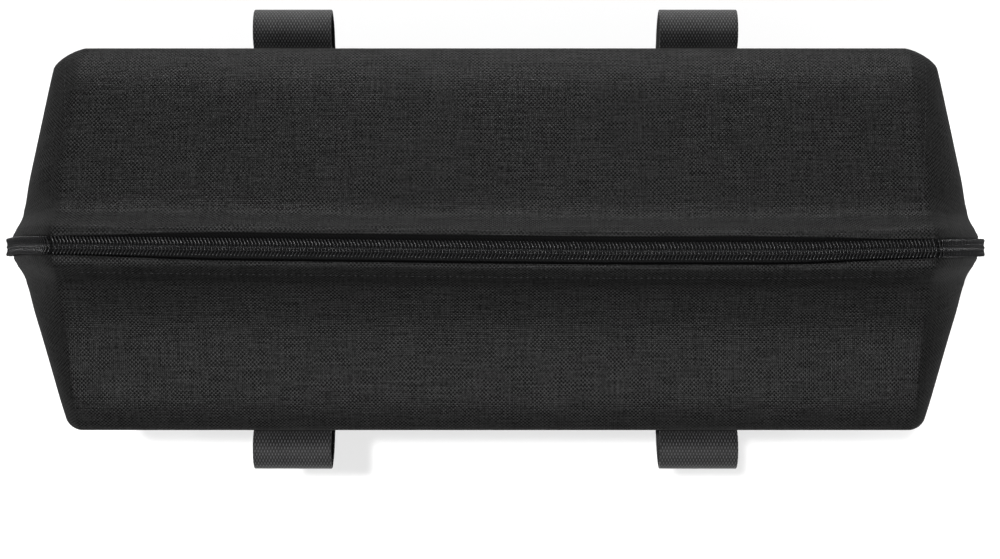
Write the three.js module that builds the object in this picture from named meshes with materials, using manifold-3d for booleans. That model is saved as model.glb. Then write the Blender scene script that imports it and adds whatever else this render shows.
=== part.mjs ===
// A soft cooler bag: a foam-walled fabric box with a pitched, zipped top and two webbing handles.
// Millimetres, +Z up, the back of the bag towards +Y, the origin at the middle of the underside.
import * as THREE from 'three';
import { mergeVertices } from 'three/addons/utils/BufferGeometryUtils.js';
import Module from 'manifold-3d';

// Driving dimensions of the body
const HALF_DEPTH = 90; // front and back walls stand this far from the middle at the shoulder
const BASE_HALF_DEPTH = 86; // and this far at the base
const SHOULDER_Z = 245; // where the walls end and the top begins
const RIDGE_Z = 296; // where the two slopes of the top would meet
const RIDGE_Y = -4; // the zip runs a little in front of the middle
const SHOULDER_HALF = { front: 202, back: 208 }; // half widths of the box at the shoulder
const BASE_HALF = { front: 195, back: 201 }; // and at the base
const PROW_SHOULDER = 228; // the side walls are pushed out to here by the zip's ends
const PROW_BASE = 206;
const PANEL_END = { front: 200, back: 205 }; // seams at the ends of the top panels

// Layers of the wall, as depths below the outer face
const GAP = 0.3; // between neighbouring pieces
const FABRIC = 1.2;
const FOAM_TOP = FABRIC + GAP;
const FOAM = 5;
const LINER_TOP = FOAM_TOP + FOAM + GAP;
const LINER = 0.8;
const WALL = LINER_TOP + LINER;
const INNER_SHORTER = 9; // foam and liner of the top stop this far inside the corners
const LINER_RIM_Z = 240;
const SIDE_FOAM_Z = 243.6;

// The zip: two tapes with a coil each, sewn under a rolled hem on either side
const TAPE_Z = 291; // upper face of the tapes along the ridge
const TAPE = 1;
const TAPE_HALF = 5.2; // open stretch of one tape between hem and middle
const TAPE_FLANGE = 16; // how far the tape reaches under the hem
const COIL_HALF = 3.6;
const COIL_HEIGHT = 2.6;
const HEM_EDGE = 6; // the hem starts this far from the middle of the zip
const HEM_RISE = 1.5; // above the slope of the top
const HEM_FOOT_RISE = 6.2; // above the side walls
const HEM_PROFILE = [
  [16, 0],
  [15, 0.6],
  [12.5, 1],
  [9, 1],
  [6.8, 0.7],
]; // distance from the middle of the zip and share of the rise
const HEM_CREASE = HEM_PROFILE[0][0];
const ZIP_BEND_START = 204; // the zip turns down over the ends between these places
const ZIP_BEND_CORNER = 215.5;
const ZIP_FOOT = 228.8;
const TAIL_BOTTOM = 160; // end of the zip on the side wall, measured up the wall's middle fold
const TAIL_TOP = 245.4;

// Handles of flat webbing
const STRAP_X = 98.8; // middle of each strap from the middle of the bag
const STRAP_WIDTH = 38;
const STRAP = 1.6;
const STRAP_SEWN_Z = 212; // the strap is sewn to the wall up to here
const STRAP_FOOT_Z = 3;
const FOLD_RADIUS = 9.8; // the strap folds over outwards in this bend
const FOLD_LEAN = THREE.MathUtils.degToRad(20); // the fold carries on round towards the wall
const HANG = { out: 94.2, z: 150 }; // below here the strap hangs plumb, this far from the middle
const LEG_SPREAD = 2.2; // by there the stiff loop has pushed its legs apart
const LOOP_TURN_Z = 135; // the two legs turn towards each other below this height
const LOOP_BOTTOM_Z = 42; // middle of the strap at the bottom of the loop

// Slider and puller
const SLIDER_LENGTH = 18;
const SLIDER_PLATE = 1.2;
const PULLER_LENGTH = 32;
const BRIDGE_CLEAR = 2.6;

const NYLON = { color: 0x1b1b1c, roughness: 0.45, metalness: 0 };
const POLYESTER = { color: 0x2b2b2c, roughness: 0.9, metalness: 0 };
const WEBBING = { color: 0x2e2e2f, roughness: 0.8, metalness: 0 };
const PE_FOAM = { color: 0xd9d9d6, roughness: 0.85, metalness: 0 };
const FOIL_LINER = { color: 0xb9bcbe, roughness: 0.35, metalness: 0.6 };
const ZINC = { color: 0x18181a, roughness: 0.4, metalness: 0.7 };

const bag = new THREE.Group();
const wasm = await Module();
wasm.setup();

function addPiece(name, geometry, look, parent = bag) {
  const mesh = new THREE.Mesh(geometry, new THREE.MeshStandardMaterial(look));
  mesh.name = name;
  parent.add(mesh);
  return mesh;
}

// A closed body from its corners and the flat faces round it, turned so that the faces point outwards
function bodyOf(corners, faces) {
  const index = [];
  for (const face of faces) {
    for (let i = 1; i + 1 < face.length; i += 1) {
      index.push(face[0], face[i], face[i + 1]);
    }
  }
  let volume = 0;
  const cross = new THREE.Vector3();
  for (let i = 0; i < index.length; i += 3) {
    const [a, b, c] = [corners[index[i]], corners[index[i + 1]], corners[index[i + 2]]];
    volume += a.dot(cross.crossVectors(b, c));
  }
  if (volume < 0) {
    index.reverse();
  }
  const geometry = new THREE.BufferGeometry();
  geometry.setAttribute('position', new THREE.Float32BufferAttribute(corners.flatMap((p) => p.toArray()), 3));
  geometry.setIndex(index);
  return geometry;
}

// A sheet with thickness: rows of points on its outer face and the same rows on its inner face
function sheetOf(outer, inner) {
  const rows = outer.length;
  const cols = outer[0].length;
  const corners = [...outer.flat(), ...inner.flat()];
  const at = (layer, row, col) => layer * rows * cols + row * cols + col;
  const faces = [];
  for (let r = 0; r + 1 < rows; r += 1) {
    for (let c = 0; c + 1 < cols; c += 1) {
      faces.push([at(0, r, c), at(0, r, c + 1), at(0, r + 1, c + 1)]);
      faces.push([at(0, r, c), at(0, r + 1, c + 1), at(0, r + 1, c)]);
      faces.push([at(1, r, c), at(1, r + 1, c + 1), at(1, r, c + 1)]);
      faces.push([at(1, r, c), at(1, r + 1, c), at(1, r + 1, c + 1)]);
    }
  }
  for (let c = 0; c + 1 < cols; c += 1) {
    faces.push([at(0, 0, c), at(1, 0, c), at(1, 0, c + 1), at(0, 0, c + 1)]);
    faces.push([at(0, rows - 1, c + 1), at(1, rows - 1, c + 1), at(1, rows - 1, c), at(0, rows - 1, c)]);
  }
  for (let r = 0; r + 1 < rows; r += 1) {
    faces.push([at(0, r + 1, 0), at(1, r + 1, 0), at(1, r, 0), at(0, r, 0)]);
    faces.push([at(0, r, cols - 1), at(1, r, cols - 1), at(1, r + 1, cols - 1), at(0, r + 1, cols - 1)]);
  }
  return bodyOf(corners, faces);
}

// A bar with the same section all the way along a row of stations, each a place with two directions
function barAlong(stations, section) {
  const count = section.length;
  const corners = stations.flatMap(({ place, across, out }) =>
    section.map(([a, b]) => place.clone().addScaledVector(across, a).addScaledVector(out, b)),
  );
  const faces = [];
  for (let s = 0; s + 1 < stations.length; s += 1) {
    for (let i = 0; i < count; i += 1) {
      const j = (i + 1) % count;
      const low = s * count;
      const high = low + count;
      faces.push([low + i, low + j, high + j]);
      faces.push([low + i, high + j, high + i]);
    }
  }
  const last = (stations.length - 1) * count;
  faces.push(section.map((_, i) => count - 1 - i));
  faces.push(section.map((_, i) => last + i));
  return bodyOf(corners, faces);
}

// A profile in the YZ plane, drawn out along X to both sides of the middle
function drawnAlongX(profile, halfLength) {
  const shape = new THREE.Shape(profile.map(([y, z]) => new THREE.Vector2(y, z)));
  const geometry = new THREE.ExtrudeGeometry(shape, { depth: 2 * halfLength, bevelEnabled: false });
  geometry.translate(0, 0, -halfLength);
  const turn = new THREE.Matrix4().makeBasis(
    new THREE.Vector3(0, 1, 0),
    new THREE.Vector3(0, 0, 1),
    new THREE.Vector3(1, 0, 0),
  );
  return geometry.applyMatrix4(turn);
}

function joined(geometries) {
  const solids = geometries.map((geometry) => {
    const bare = geometry.clone();
    bare.deleteAttribute('normal');
    bare.deleteAttribute('uv');
    const merged = mergeVertices(bare, 1e-4);
    return new wasm.Manifold(
      new wasm.Mesh({
        numProp: 3,
        vertProperties: new Float32Array(merged.attributes.position.array),
        triVerts: new Uint32Array(merged.index.array),
      }),
    );
  });
  const mesh = solids.reduce((whole, solid) => whole.add(solid)).getMesh();
  const geometry = new THREE.BufferGeometry();
  geometry.setAttribute('position', new THREE.BufferAttribute(mesh.vertProperties, 3));
  geometry.setIndex(new THREE.BufferAttribute(mesh.triVerts, 1));
  return geometry;
}

// The plan of the box at a height: six corners, drawn in by a depth below the outer face
const CORNERS = ['frontLeft', 'frontRight', 'prowRight', 'backRight', 'backLeft', 'prowLeft'];

const halfDepthAt = (z) => THREE.MathUtils.lerp(BASE_HALF_DEPTH, HALF_DEPTH, z / SHOULDER_Z);

function planAt(z, depth) {
  const t = z / SHOULDER_Z;
  const halfDepth = halfDepthAt(z);
  const front = THREE.MathUtils.lerp(BASE_HALF.front, SHOULDER_HALF.front, t);
  const back = THREE.MathUtils.lerp(BASE_HALF.back, SHOULDER_HALF.back, t);
  const prow = THREE.MathUtils.lerp(PROW_BASE, PROW_SHOULDER, t);
  const outline = [
    new THREE.Vector2(-front, -halfDepth),
    new THREE.Vector2(front, -halfDepth),
    new THREE.Vector2(prow, RIDGE_Y),
    new THREE.Vector2(back, halfDepth),
    new THREE.Vector2(-back, halfDepth),
    new THREE.Vector2(-prow, RIDGE_Y),
  ];
  const plan = {};
  outline.forEach((corner, i) => {
    const before = outline[(i + outline.length - 1) % outline.length];
    const after = outline[(i + 1) % outline.length];
    const into = corner.clone().sub(before).normalize();
    const onward = after.clone().sub(corner).normalize();
    const inward = new THREE.Vector2(-into.y, into.x).add(new THREE.Vector2(-onward.y, onward.x));
    const reach = (2 * depth) / inward.lengthSq();
    plan[CORNERS[i]] = corner.clone().addScaledVector(inward, reach);
  });
  return plan;
}

// One wall layer between two depths, between corners of the plan, up to a top that depends on the depth
function wallLayer(cornerNames, depths, bottom, topAt) {
  const rows = cornerNames.length > 2 ? 6 : 1; // the side walls are twisted, so they take more facets
  const cols = cornerNames.length > 2 ? 3 : 1;
  const face = (depth) =>
    Array.from({ length: rows + 1 }, (_, row) => {
      const z = THREE.MathUtils.lerp(bottom, topAt(depth), row / rows);
      const plan = planAt(z, depth);
      const ends = cornerNames.map((name) => plan[name].clone());
      const last = ends.length - 1;
      const step = GAP; // clear of the next panel round the corner
      ends[0].addScaledVector(plan[cornerNames[1]].clone().sub(ends[0]).normalize(), step);
      ends[last].addScaledVector(plan[cornerNames[last - 1]].clone().sub(ends[last]).normalize(), step);
      const points = [ends[0]];
      for (let i = 0; i < last; i += 1) {
        for (let c = 1; c <= cols; c += 1) {
          points.push(ends[i].clone().lerp(ends[i + 1], c / cols));
        }
      }
      return points.map((p) => new THREE.Vector3(p.x, p.y, z));
    });
  return sheetOf(face(depths[0]), face(depths[1]));
}

function slabOfPlan(bottom, top, depth) {
  const corners = [bottom, top].flatMap((z) => {
    const plan = planAt(z, depth);
    return CORNERS.map((name) => new THREE.Vector3(plan[name].x, plan[name].y, z));
  });
  const count = CORNERS.length;
  const faces = CORNERS.map((_, i) => [i, (i + 1) % count, count + ((i + 1) % count), count + i]);
  faces.push(CORNERS.map((_, i) => count - 1 - i));
  faces.push(CORNERS.map((_, i) => count + i));
  return bodyOf(corners, faces);
}

// The pitch of the top on one side: distances are measured from the zip towards the wall
const SIDES = { front: -1, back: 1 };
const RISE = RIDGE_Z - SHOULDER_Z;

function pitchOf(side) {
  const sign = SIDES[side];
  const run = HALF_DEPTH - sign * RIDGE_Y;
  const slant = Math.hypot(RISE, run) / run;
  const heightAt = (distance, depth = 0) => RIDGE_Z - (RISE * distance) / run - depth * slant;
  const point = (distance, depth = 0) => [RIDGE_Y + sign * distance, heightAt(distance, depth)];
  const seamDrop = slant - RISE / run; // the seam plane falls this much for each millimetre of depth
  return { sign, run, slant, heightAt, point, seamDrop };
}

// Base, walls and liner
const wallFoot = FABRIC + GAP;
const foamFoot = FOAM_TOP + FOAM + GAP;
const seamTop = (side) => (depth) => SHOULDER_Z - pitchOf(side).seamDrop * depth - GAP / 2;
const fabricDepths = [0, FABRIC];
const foamDepths = [FOAM_TOP, FOAM_TOP + FOAM];
const WALLS = {
  front: ['frontLeft', 'frontRight'],
  back: ['backRight', 'backLeft'],
  right_side: ['frontRight', 'prowRight', 'backRight'],
  left_side: ['backLeft', 'prowLeft', 'frontLeft'],
};

addPiece('base_panel', slabOfPlan(0, FABRIC, 0), POLYESTER);
addPiece('base_foam', slabOfPlan(wallFoot, wallFoot + FOAM, FOAM_TOP), PE_FOAM);
for (const [wall, names] of Object.entries(WALLS)) {
  const straight = wall in SIDES;
  const fabricTop = straight ? seamTop(wall) : () => SHOULDER_Z - GAP / 2;
  const foamTop = straight ? seamTop(wall) : () => SIDE_FOAM_Z;
  addPiece(`${wall}_panel`, wallLayer(names, fabricDepths, wallFoot, fabricTop), POLYESTER);
  addPiece(`${wall}_foam`, wallLayer(names, foamDepths, foamFoot, foamTop), PE_FOAM);
}

// The liner is one welded tub: rings up its outer face and down its inner face to the floor
function linerTub() {
  const steps = 6;
  const cols = 3;
  const floor = foamFoot + LINER;
  const ring = (z, depth) => {
    const plan = planAt(z, depth);
    return CORNERS.flatMap((name, i) => {
      const next = plan[CORNERS[(i + 1) % CORNERS.length]];
      return Array.from({ length: cols }, (_, c) => plan[name].clone().lerp(next, c / cols));
    }).map((p) => new THREE.Vector3(p.x, p.y, z));
  };
  const rings = [];
  for (let i = 0; i <= steps; i += 1) {
    rings.push(ring(THREE.MathUtils.lerp(foamFoot, LINER_RIM_Z, i / steps), LINER_TOP));
  }
  for (let i = steps; i >= 0; i -= 1) {
    rings.push(ring(THREE.MathUtils.lerp(floor, LINER_RIM_Z, i / steps), WALL));
  }
  const count = CORNERS.length * cols;
  const faces = [];
  for (let r = 0; r + 1 < rings.length; r += 1) {
    for (let i = 0; i < count; i += 1) {
      const j = (i + 1) % count;
      faces.push([r * count + i, r * count + j, (r + 1) * count + j]);
      faces.push([r * count + i, (r + 1) * count + j, (r + 1) * count + i]);
    }
  }
  const round = Array.from({ length: count }, (_, i) => i);
  faces.push(round.map((i) => count - 1 - i));
  faces.push(round.map((i) => (rings.length - 1) * count + i));
  return bodyOf(rings.flat(), faces);
}
addPiece('liner_tub', linerTub(), FOIL_LINER);

// The path of the zip over the top, from the middle of the ridge down to the shoulder at the right end
const ridgeLine = new THREE.LineCurve3(new THREE.Vector3(0, 0, TAPE_Z), new THREE.Vector3(ZIP_BEND_START, 0, TAPE_Z));
const bendCorner = new THREE.Vector3(ZIP_BEND_CORNER, 0, TAPE_Z);
const zipFoot = new THREE.Vector3(ZIP_FOOT, 0, SHOULDER_Z + GAP);
const bendEnd = bendCorner.clone().lerp(zipFoot, 0.28);
const bend = new THREE.QuadraticBezierCurve3(ridgeLine.v2, bendCorner, bendEnd);

function zipStations(sign) {
  const half = [ridgeLine.v2, ...bend.getPoints(6).slice(1), zipFoot];
  const whole = [...half.map((p) => new THREE.Vector3(-p.x, 0, p.z)).reverse(), ...half];
  return whole.map((place, i) => {
    const before = whole[Math.max(i - 1, 0)];
    const after = whole[Math.min(i + 1, whole.length - 1)];
    const along = after.clone().sub(before).normalize();
    return {
      place: new THREE.Vector3(place.x, RIDGE_Y, place.z),
      across: new THREE.Vector3(0, sign, 0),
      out: new THREE.Vector3(-along.z, 0, along.x),
    };
  });
}

// One half of the top: the panel with its rolled hem, foam, liner, tape and coil, and the two hips
function topHalf(side) {
  const { sign, run, slant, heightAt, point } = pitchOf(side);
  const seam = (depth) => point(run - depth - GAP, depth);
  const hemEnd = HEM_CREASE + 2;
  const raised = (distance, rise) => point(distance, -rise / slant);
  const panel = [
    seam(0),
    ...HEM_PROFILE.map(([distance, share]) => raised(distance, share * HEM_RISE)),
    [RIDGE_Y + sign * HEM_EDGE, TAPE_Z + 2 * GAP],
    point(hemEnd, FABRIC),
    seam(FABRIC),
  ];
  const halfLength = PANEL_END[side] - GAP / 2;
  const innerHalfLength = SHOULDER_HALF[side] - INNER_SHORTER;
  addPiece(`${side}_top_panel`, drawnAlongX(panel, halfLength), POLYESTER);

  const foamEnd = HEM_CREASE + 3;
  const [foamOuter, foamInner] = foamDepths;
  const foam = [seam(foamOuter), point(foamEnd, foamOuter), point(foamEnd, foamInner), seam(foamInner)];
  addPiece(`${side}_top_foam`, drawnAlongX(foam, innerHalfLength), PE_FOAM);
  const liner = [seam(LINER_TOP), point(HEM_EDGE, LINER_TOP), point(HEM_EDGE, WALL), seam(WALL)];
  addPiece(`${side}_top_liner`, drawnAlongX(liner, innerHalfLength), FOIL_LINER);

  const strip = barAlong(zipStations(sign), [
    [GAP / 2, -TAPE],
    [TAPE_HALF, -TAPE],
    [TAPE_HALF, 0],
    [GAP / 2, 0],
  ]);
  const hemFall = (TAPE_Z + 2 * GAP - heightAt(hemEnd, FABRIC)) / (hemEnd - HEM_EDGE);
  const flangeTop = (distance) => TAPE_Z - hemFall * (distance - HEM_EDGE);
  const across = (distance) => RIDGE_Y + sign * distance;
  const bendAt = TAPE_HALF + 4;
  const flange = drawnAlongX(
    [
      [across(TAPE_HALF - 1), TAPE_Z - 0.1],
      [across(bendAt), flangeTop(bendAt)],
      [across(TAPE_FLANGE), flangeTop(TAPE_FLANGE)],
      [across(TAPE_FLANGE), flangeTop(TAPE_FLANGE) - TAPE],
      [across(bendAt), flangeTop(bendAt) - TAPE],
      [across(TAPE_HALF - 1), TAPE_Z - TAPE + 0.1],
    ],
    innerHalfLength,
  );
  addPiece(`${side}_zip_tape`, joined([strip, flange]), NYLON);
  const coil = barAlong(zipStations(sign), [
    [GAP / 2, GAP],
    [COIL_HALF, GAP],
    [COIL_HALF, GAP + 0.45 * COIL_HEIGHT],
    [0.7 * COIL_HALF, GAP + 0.9 * COIL_HEIGHT],
    [GAP / 2, GAP + COIL_HEIGHT],
  ]);
  addPiece(`${side}_zip_coil`, coil, NYLON);

  // A hip closes the end of the slope: it leaves the panel's seam and falls steeply to the side wall
  const HIP = 2;
  const hipRows = [[run - WALL - GAP, 0], [0.62 * run, 0], [0.36 * run, 0], ...HEM_PROFILE];
  for (const [hand, mirror] of Object.entries({ left: -1, right: 1 })) {
    const outer = [];
    const inner = [];
    for (const [distance, share] of hipRows) {
      const t = 1 - distance / run;
      const y = RIDGE_Y + sign * distance;
      const rise = share * HEM_RISE;
      const top = heightAt(distance) + rise;
      const seamX = PANEL_END[side] + GAP / 2;
      const browX = seamX + 0.6 + t * (ZIP_BEND_CORNER - 3 - seamX) + 0.7 * rise;
      const footX = THREE.MathUtils.lerp(SHOULDER_HALF[side], PROW_SHOULDER, t) + share * HEM_FOOT_RISE;
      const foot = SHOULDER_Z + GAP;
      const browZ = top - 1.5 * t - 0.3 * rise;
      outer.push([
        new THREE.Vector3(mirror * seamX, y, top),
        new THREE.Vector3(mirror * browX, y, browZ),
        new THREE.Vector3(mirror * footX, y, foot),
      ]);
      inner.push([
        new THREE.Vector3(mirror * seamX, y, top - HIP),
        new THREE.Vector3(mirror * (browX - 0.6 - (HIP - 0.8) * t), y, browZ - HIP),
        new THREE.Vector3(mirror * (footX - HIP), y, foot),
      ]);
    }
    addPiece(`${side}_${hand}_hip`, sheetOf(outer, inner), POLYESTER);
  }
}
topHalf('front');
topHalf('back');

// The ends of the zip, sewn down the middle fold of each side wall, with a stop and a fabric tab
const foldLean = Math.atan2(PROW_SHOULDER - PROW_BASE, SHOULDER_Z);
const coilTop = GAP + TAPE + GAP + COIL_HEIGHT;

function foldGroup(mirror) {
  const group = new THREE.Group();
  group.position.set(mirror * PROW_BASE, RIDGE_Y, 0);
  group.rotation.y = mirror * foldLean;
  bag.add(group);
  return group;
}

// A block standing off the fold between two depths, two half widths and two heights up the fold
function blockOnFold(mirror, depths, halfWidth, heights) {
  const block = new THREE.BoxGeometry(depths[1] - depths[0], 2 * halfWidth, heights[1] - heights[0]);
  return block.translate((mirror * (depths[0] + depths[1])) / 2, 0, (heights[0] + heights[1]) / 2);
}

// The rolled hem carries on down the side wall beside each tail and is sewn flat at its lower end
function tailHem(mirror, side) {
  const { sign } = pitchOf(side);
  const rows = [
    [TAIL_BOTTOM + 2, 0.4],
    [TAIL_BOTTOM + 12, 1],
    [TAIL_BOTTOM + 40, 1],
    [TAIL_BOTTOM + 65, 1],
    [TAIL_TOP, 1],
  ];
  const faceOf = (depthAbove) =>
    rows.map(([height, swell]) => {
      const plan = planAt(height, 0);
      const corner = plan[`${side}Right`];
      const prow = plan.prowRight;
      const fall = (prow.x - corner.x) / Math.abs(corner.y - prow.y);
      return HEM_PROFILE.map(([distance, share]) => {
        const depth = depthAbove(share * swell) - fall * distance;
        return new THREE.Vector3(mirror * depth, sign * distance, height);
      });
    });
  const under = 2 * GAP;
  return sheetOf(
    faceOf((share) => under + Math.max(FABRIC, share * HEM_FOOT_RISE)),
    faceOf(() => under),
  );
}

const stopHeight = 3;
const coilBottom = TAIL_BOTTOM + stopHeight + 1;
const tabHeights = [TAIL_BOTTOM - 19, TAIL_BOTTOM - GAP];
const folds = { left: foldGroup(-1), right: foldGroup(1) };
for (const [end, group] of Object.entries(folds)) {
  const mirror = end === 'left' ? -1 : 1;
  const tape = blockOnFold(mirror, [GAP, GAP + TAPE], TAPE_HALF, [TAIL_BOTTOM, TAIL_TOP]);
  addPiece(`${end}_tail_tape`, tape, NYLON, group);
  const coilDepths = [GAP + TAPE + GAP, coilTop];
  const coil = blockOnFold(mirror, coilDepths, COIL_HALF, [coilBottom, TAIL_TOP]);
  addPiece(`${end}_tail_coil`, coil, NYLON, group);
  const stop = blockOnFold(mirror, coilDepths, COIL_HALF + 0.6, [TAIL_BOTTOM + 0.5, TAIL_BOTTOM + stopHeight]);
  addPiece(`${end}_zip_stop`, stop, ZINC, group);
  addPiece(`${end}_end_tab`, blockOnFold(mirror, [GAP, GAP + FABRIC], 12, tabHeights), POLYESTER, group);
  for (const side of Object.keys(SIDES)) {
    addPiece(`${end}_${side}_tail_hem`, tailHem(mirror, side), POLYESTER, group);
  }
}

// The slider waits at the foot of the right-hand tail: a plate over the coil with turned-down edges
const sliderBottom = coilBottom + 0.5;
const sliderMiddle = sliderBottom + SLIDER_LENGTH / 2;
const plateDepths = [coilTop + GAP, coilTop + GAP + SLIDER_PLATE];
const flangeInner = COIL_HALF + 0.3;
const flangeOuter = flangeInner + 1.5;

// A shape drawn across the fold (Y) and up it (Z), made as thick as the two depths say
function plateOnFold(shape, depths) {
  const plate = new THREE.ExtrudeGeometry(shape, { depth: depths[1] - depths[0], bevelEnabled: false });
  const turn = new THREE.Matrix4().makeBasis(
    new THREE.Vector3(0, 1, 0),
    new THREE.Vector3(0, 0, 1),
    new THREE.Vector3(1, 0, 0),
  );
  return plate.applyMatrix4(turn).translate(depths[0], 0, 0);
}

function sliderBody() {
  const high = sliderBottom + SLIDER_LENGTH;
  const waist = flangeOuter;
  const shoulder = flangeOuter + 1.2;
  const outline = new THREE.Shape();
  outline.moveTo(-waist, sliderBottom);
  outline.lineTo(waist, sliderBottom);
  outline.lineTo(shoulder, sliderMiddle + 2);
  outline.lineTo(shoulder, high - 2);
  outline.lineTo(shoulder - 2, high);
  outline.lineTo(2 - shoulder, high);
  outline.lineTo(-shoulder, high - 2);
  outline.lineTo(-shoulder, sliderMiddle + 2);
  outline.closePath();
  const plate = plateOnFold(outline, plateDepths);
  const flangeDepths = [GAP + TAPE + GAP, plateDepths[1] - 0.2];
  const flanges = [-1, 1].map((edge) => {
    const length = SLIDER_LENGTH - 0.8;
    const flange = new THREE.BoxGeometry(flangeDepths[1] - flangeDepths[0], flangeOuter - flangeInner, length);
    const middle = (edge * (flangeInner + flangeOuter)) / 2;
    return flange.translate((flangeDepths[0] + flangeDepths[1]) / 2, middle, sliderMiddle);
  });
  const bridge = new THREE.Shape();
  const reach = 5;
  const leg = 1.7;
  const roof = plateDepths[1] + BRIDGE_CLEAR + 1.4;
  bridge.moveTo(plateDepths[1] - 0.3, sliderMiddle - reach);
  bridge.lineTo(roof - 1, sliderMiddle - reach);
  bridge.lineTo(roof, sliderMiddle - reach + 1.2);
  bridge.lineTo(roof, sliderMiddle + reach - 1.2);
  bridge.lineTo(roof - 1, sliderMiddle + reach);
  bridge.lineTo(plateDepths[1] - 0.3, sliderMiddle + reach);
  bridge.lineTo(plateDepths[1] - 0.3, sliderMiddle + reach - leg);
  bridge.lineTo(plateDepths[1] + BRIDGE_CLEAR, sliderMiddle + reach - leg);
  bridge.lineTo(plateDepths[1] + BRIDGE_CLEAR, sliderMiddle - reach + leg);
  bridge.lineTo(plateDepths[1] - 0.3, sliderMiddle - reach + leg);
  bridge.closePath();
  const bridgeWidth = 2.4;
  const arch = new THREE.ExtrudeGeometry(bridge, { depth: bridgeWidth, bevelEnabled: false });
  const turn = new THREE.Matrix4().makeBasis(
    new THREE.Vector3(1, 0, 0),
    new THREE.Vector3(0, 0, 1),
    new THREE.Vector3(0, -1, 0),
  );
  arch.applyMatrix4(turn).translate(0, bridgeWidth / 2, 0);
  return joined([plate, ...flanges, arch]);
}
addPiece('zip_slider', sliderBody(), ZINC, folds.right);

// The puller hangs from the bridge by the bar at the top of its eye
function pullerPlate() {
  const barHalf = 0.8;
  const eye = { half: 2.5, bottom: 6.5 };
  const half = 4.2;
  const low = sliderMiddle - PULLER_LENGTH;
  const outline = new THREE.Shape();
  outline.moveTo(-half + 0.8, sliderMiddle + barHalf);
  outline.lineTo(-half, sliderMiddle);
  outline.lineTo(-half, low + half);
  outline.absarc(0, low + half, half, Math.PI, 2 * Math.PI, false);
  outline.lineTo(half, sliderMiddle);
  outline.lineTo(half - 0.8, sliderMiddle + barHalf);
  outline.closePath();
  const hole = new THREE.Path();
  hole.moveTo(-eye.half, sliderMiddle - barHalf);
  hole.lineTo(-eye.half, sliderMiddle - eye.bottom);
  hole.lineTo(eye.half, sliderMiddle - eye.bottom);
  hole.lineTo(eye.half, sliderMiddle - barHalf);
  hole.closePath();
  outline.holes.push(hole);
  const hangs = plateDepths[1] + BRIDGE_CLEAR / 2;
  return plateOnFold(outline, [hangs - barHalf, hangs + barHalf]);
}
addPiece('zip_puller', pullerPlate(), ZINC, folds.right);

// Handles: legs sewn to the walls, and the free loop that folds over outwards and hangs down
const strapSection = [
  [-STRAP_WIDTH / 2, -STRAP / 2],
  [STRAP_WIDTH / 2, -STRAP / 2],
  [STRAP_WIDTH / 2, STRAP / 2],
  [-STRAP_WIDTH / 2, STRAP / 2],
];
const foldSteps = 9;
const settleSteps = 4;
const loopSteps = 20;
const strapOutAt = (z) => halfDepthAt(z) + GAP + STRAP / 2; // middle of a strap lying on the wall

function strapLeg(sign, x) {
  const stations = [STRAP_FOOT_Z, STRAP_SEWN_Z].map((z) => ({
    place: new THREE.Vector3(x, sign * strapOutAt(z), z),
    across: new THREE.Vector3(1, 0, 0),
    out: new THREE.Vector3(0, sign, 0),
  }));
  return barAlong(stations, strapSection);
}

// Half of a free loop, from its sewn end over the fold and down to the bottom, on the side of -X
function halfLoop(sign) {
  const foldOut = strapOutAt(STRAP_SEWN_Z) + FOLD_RADIUS;
  const foldZ = STRAP_SEWN_Z + 0.4;
  const stations = [];
  const add = (place, along, facing) => {
    const across = new THREE.Vector3().crossVectors(along, facing).normalize();
    stations.push({ place, across, out: new THREE.Vector3().crossVectors(along, across) });
  };
  const inFold = (angle) =>
    new THREE.Vector3(
      -STRAP_X,
      sign * (foldOut - FOLD_RADIUS * Math.cos(angle)),
      foldZ + FOLD_RADIUS * Math.sin(angle),
    );
  const foldAlong = (angle) => new THREE.Vector3(0, sign * Math.sin(angle), Math.cos(angle));
  const faceOf = (along) => new THREE.Vector3(1, 0, 0).cross(along);
  const foldEnd = Math.PI + FOLD_LEAN;
  for (let i = 0; i <= foldSteps; i += 1) {
    const angle = (foldEnd * i) / foldSteps;
    const along = foldAlong(angle);
    add(inFold(angle), along, faceOf(along));
  }
  const legX = STRAP_X + LEG_SPREAD;
  const from = inFold(foldEnd);
  const to = new THREE.Vector3(-legX, sign * HANG.out, HANG.z);
  const pull = 0.36 * (from.z - to.z);
  const settle = new THREE.CubicBezierCurve3(
    from,
    from.clone().addScaledVector(foldAlong(foldEnd), pull),
    to.clone().add(new THREE.Vector3(0, 0, pull)),
    to,
  );
  for (let i = 1; i <= settleSteps; i += 1) {
    const along = settle.getTangent(i / settleSteps);
    add(settle.getPoint(i / settleSteps), along, faceOf(along));
  }
  const facing = new THREE.Vector3(0, 1, 0);
  const turn = LOOP_TURN_Z - LOOP_BOTTOM_Z;
  for (let i = 0; i <= loopSteps / 2; i += 1) {
    const angle = (Math.PI * i) / loopSteps;
    const along = new THREE.Vector3(legX * Math.sin(angle), 0, -turn * Math.cos(angle)).normalize();
    const place = new THREE.Vector3(-legX * Math.cos(angle), sign * HANG.out, LOOP_TURN_Z - turn * Math.sin(angle));
    add(place, along, facing);
  }
  return stations;
}

function handleLoop(sign) {
  const left = halfLoop(sign);
  const right = left.slice(0, -1).map(({ place, across, out }) => ({
    place: place.clone().setX(-place.x),
    across: across.clone().setX(-across.x),
    out: out.clone().setX(-out.x),
  }));
  return barAlong([...left, ...right.reverse()], strapSection);
}

for (const [side, sign] of Object.entries(SIDES)) {
  for (const [hand, mirror] of Object.entries({ left: -1, right: 1 })) {
    addPiece(`${side}_${hand}_strap_leg`, strapLeg(sign, mirror * STRAP_X), WEBBING);
  }
  addPiece(`${side}_handle`, handleLoop(sign), WEBBING);
}

export default bag;
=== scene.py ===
# A soft cooler bag, photographed from straight above: foam walls, a pitched top with a coil zip
# along its ridge, and two webbing handles that fold over and hang down outside the walls.
import math

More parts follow.
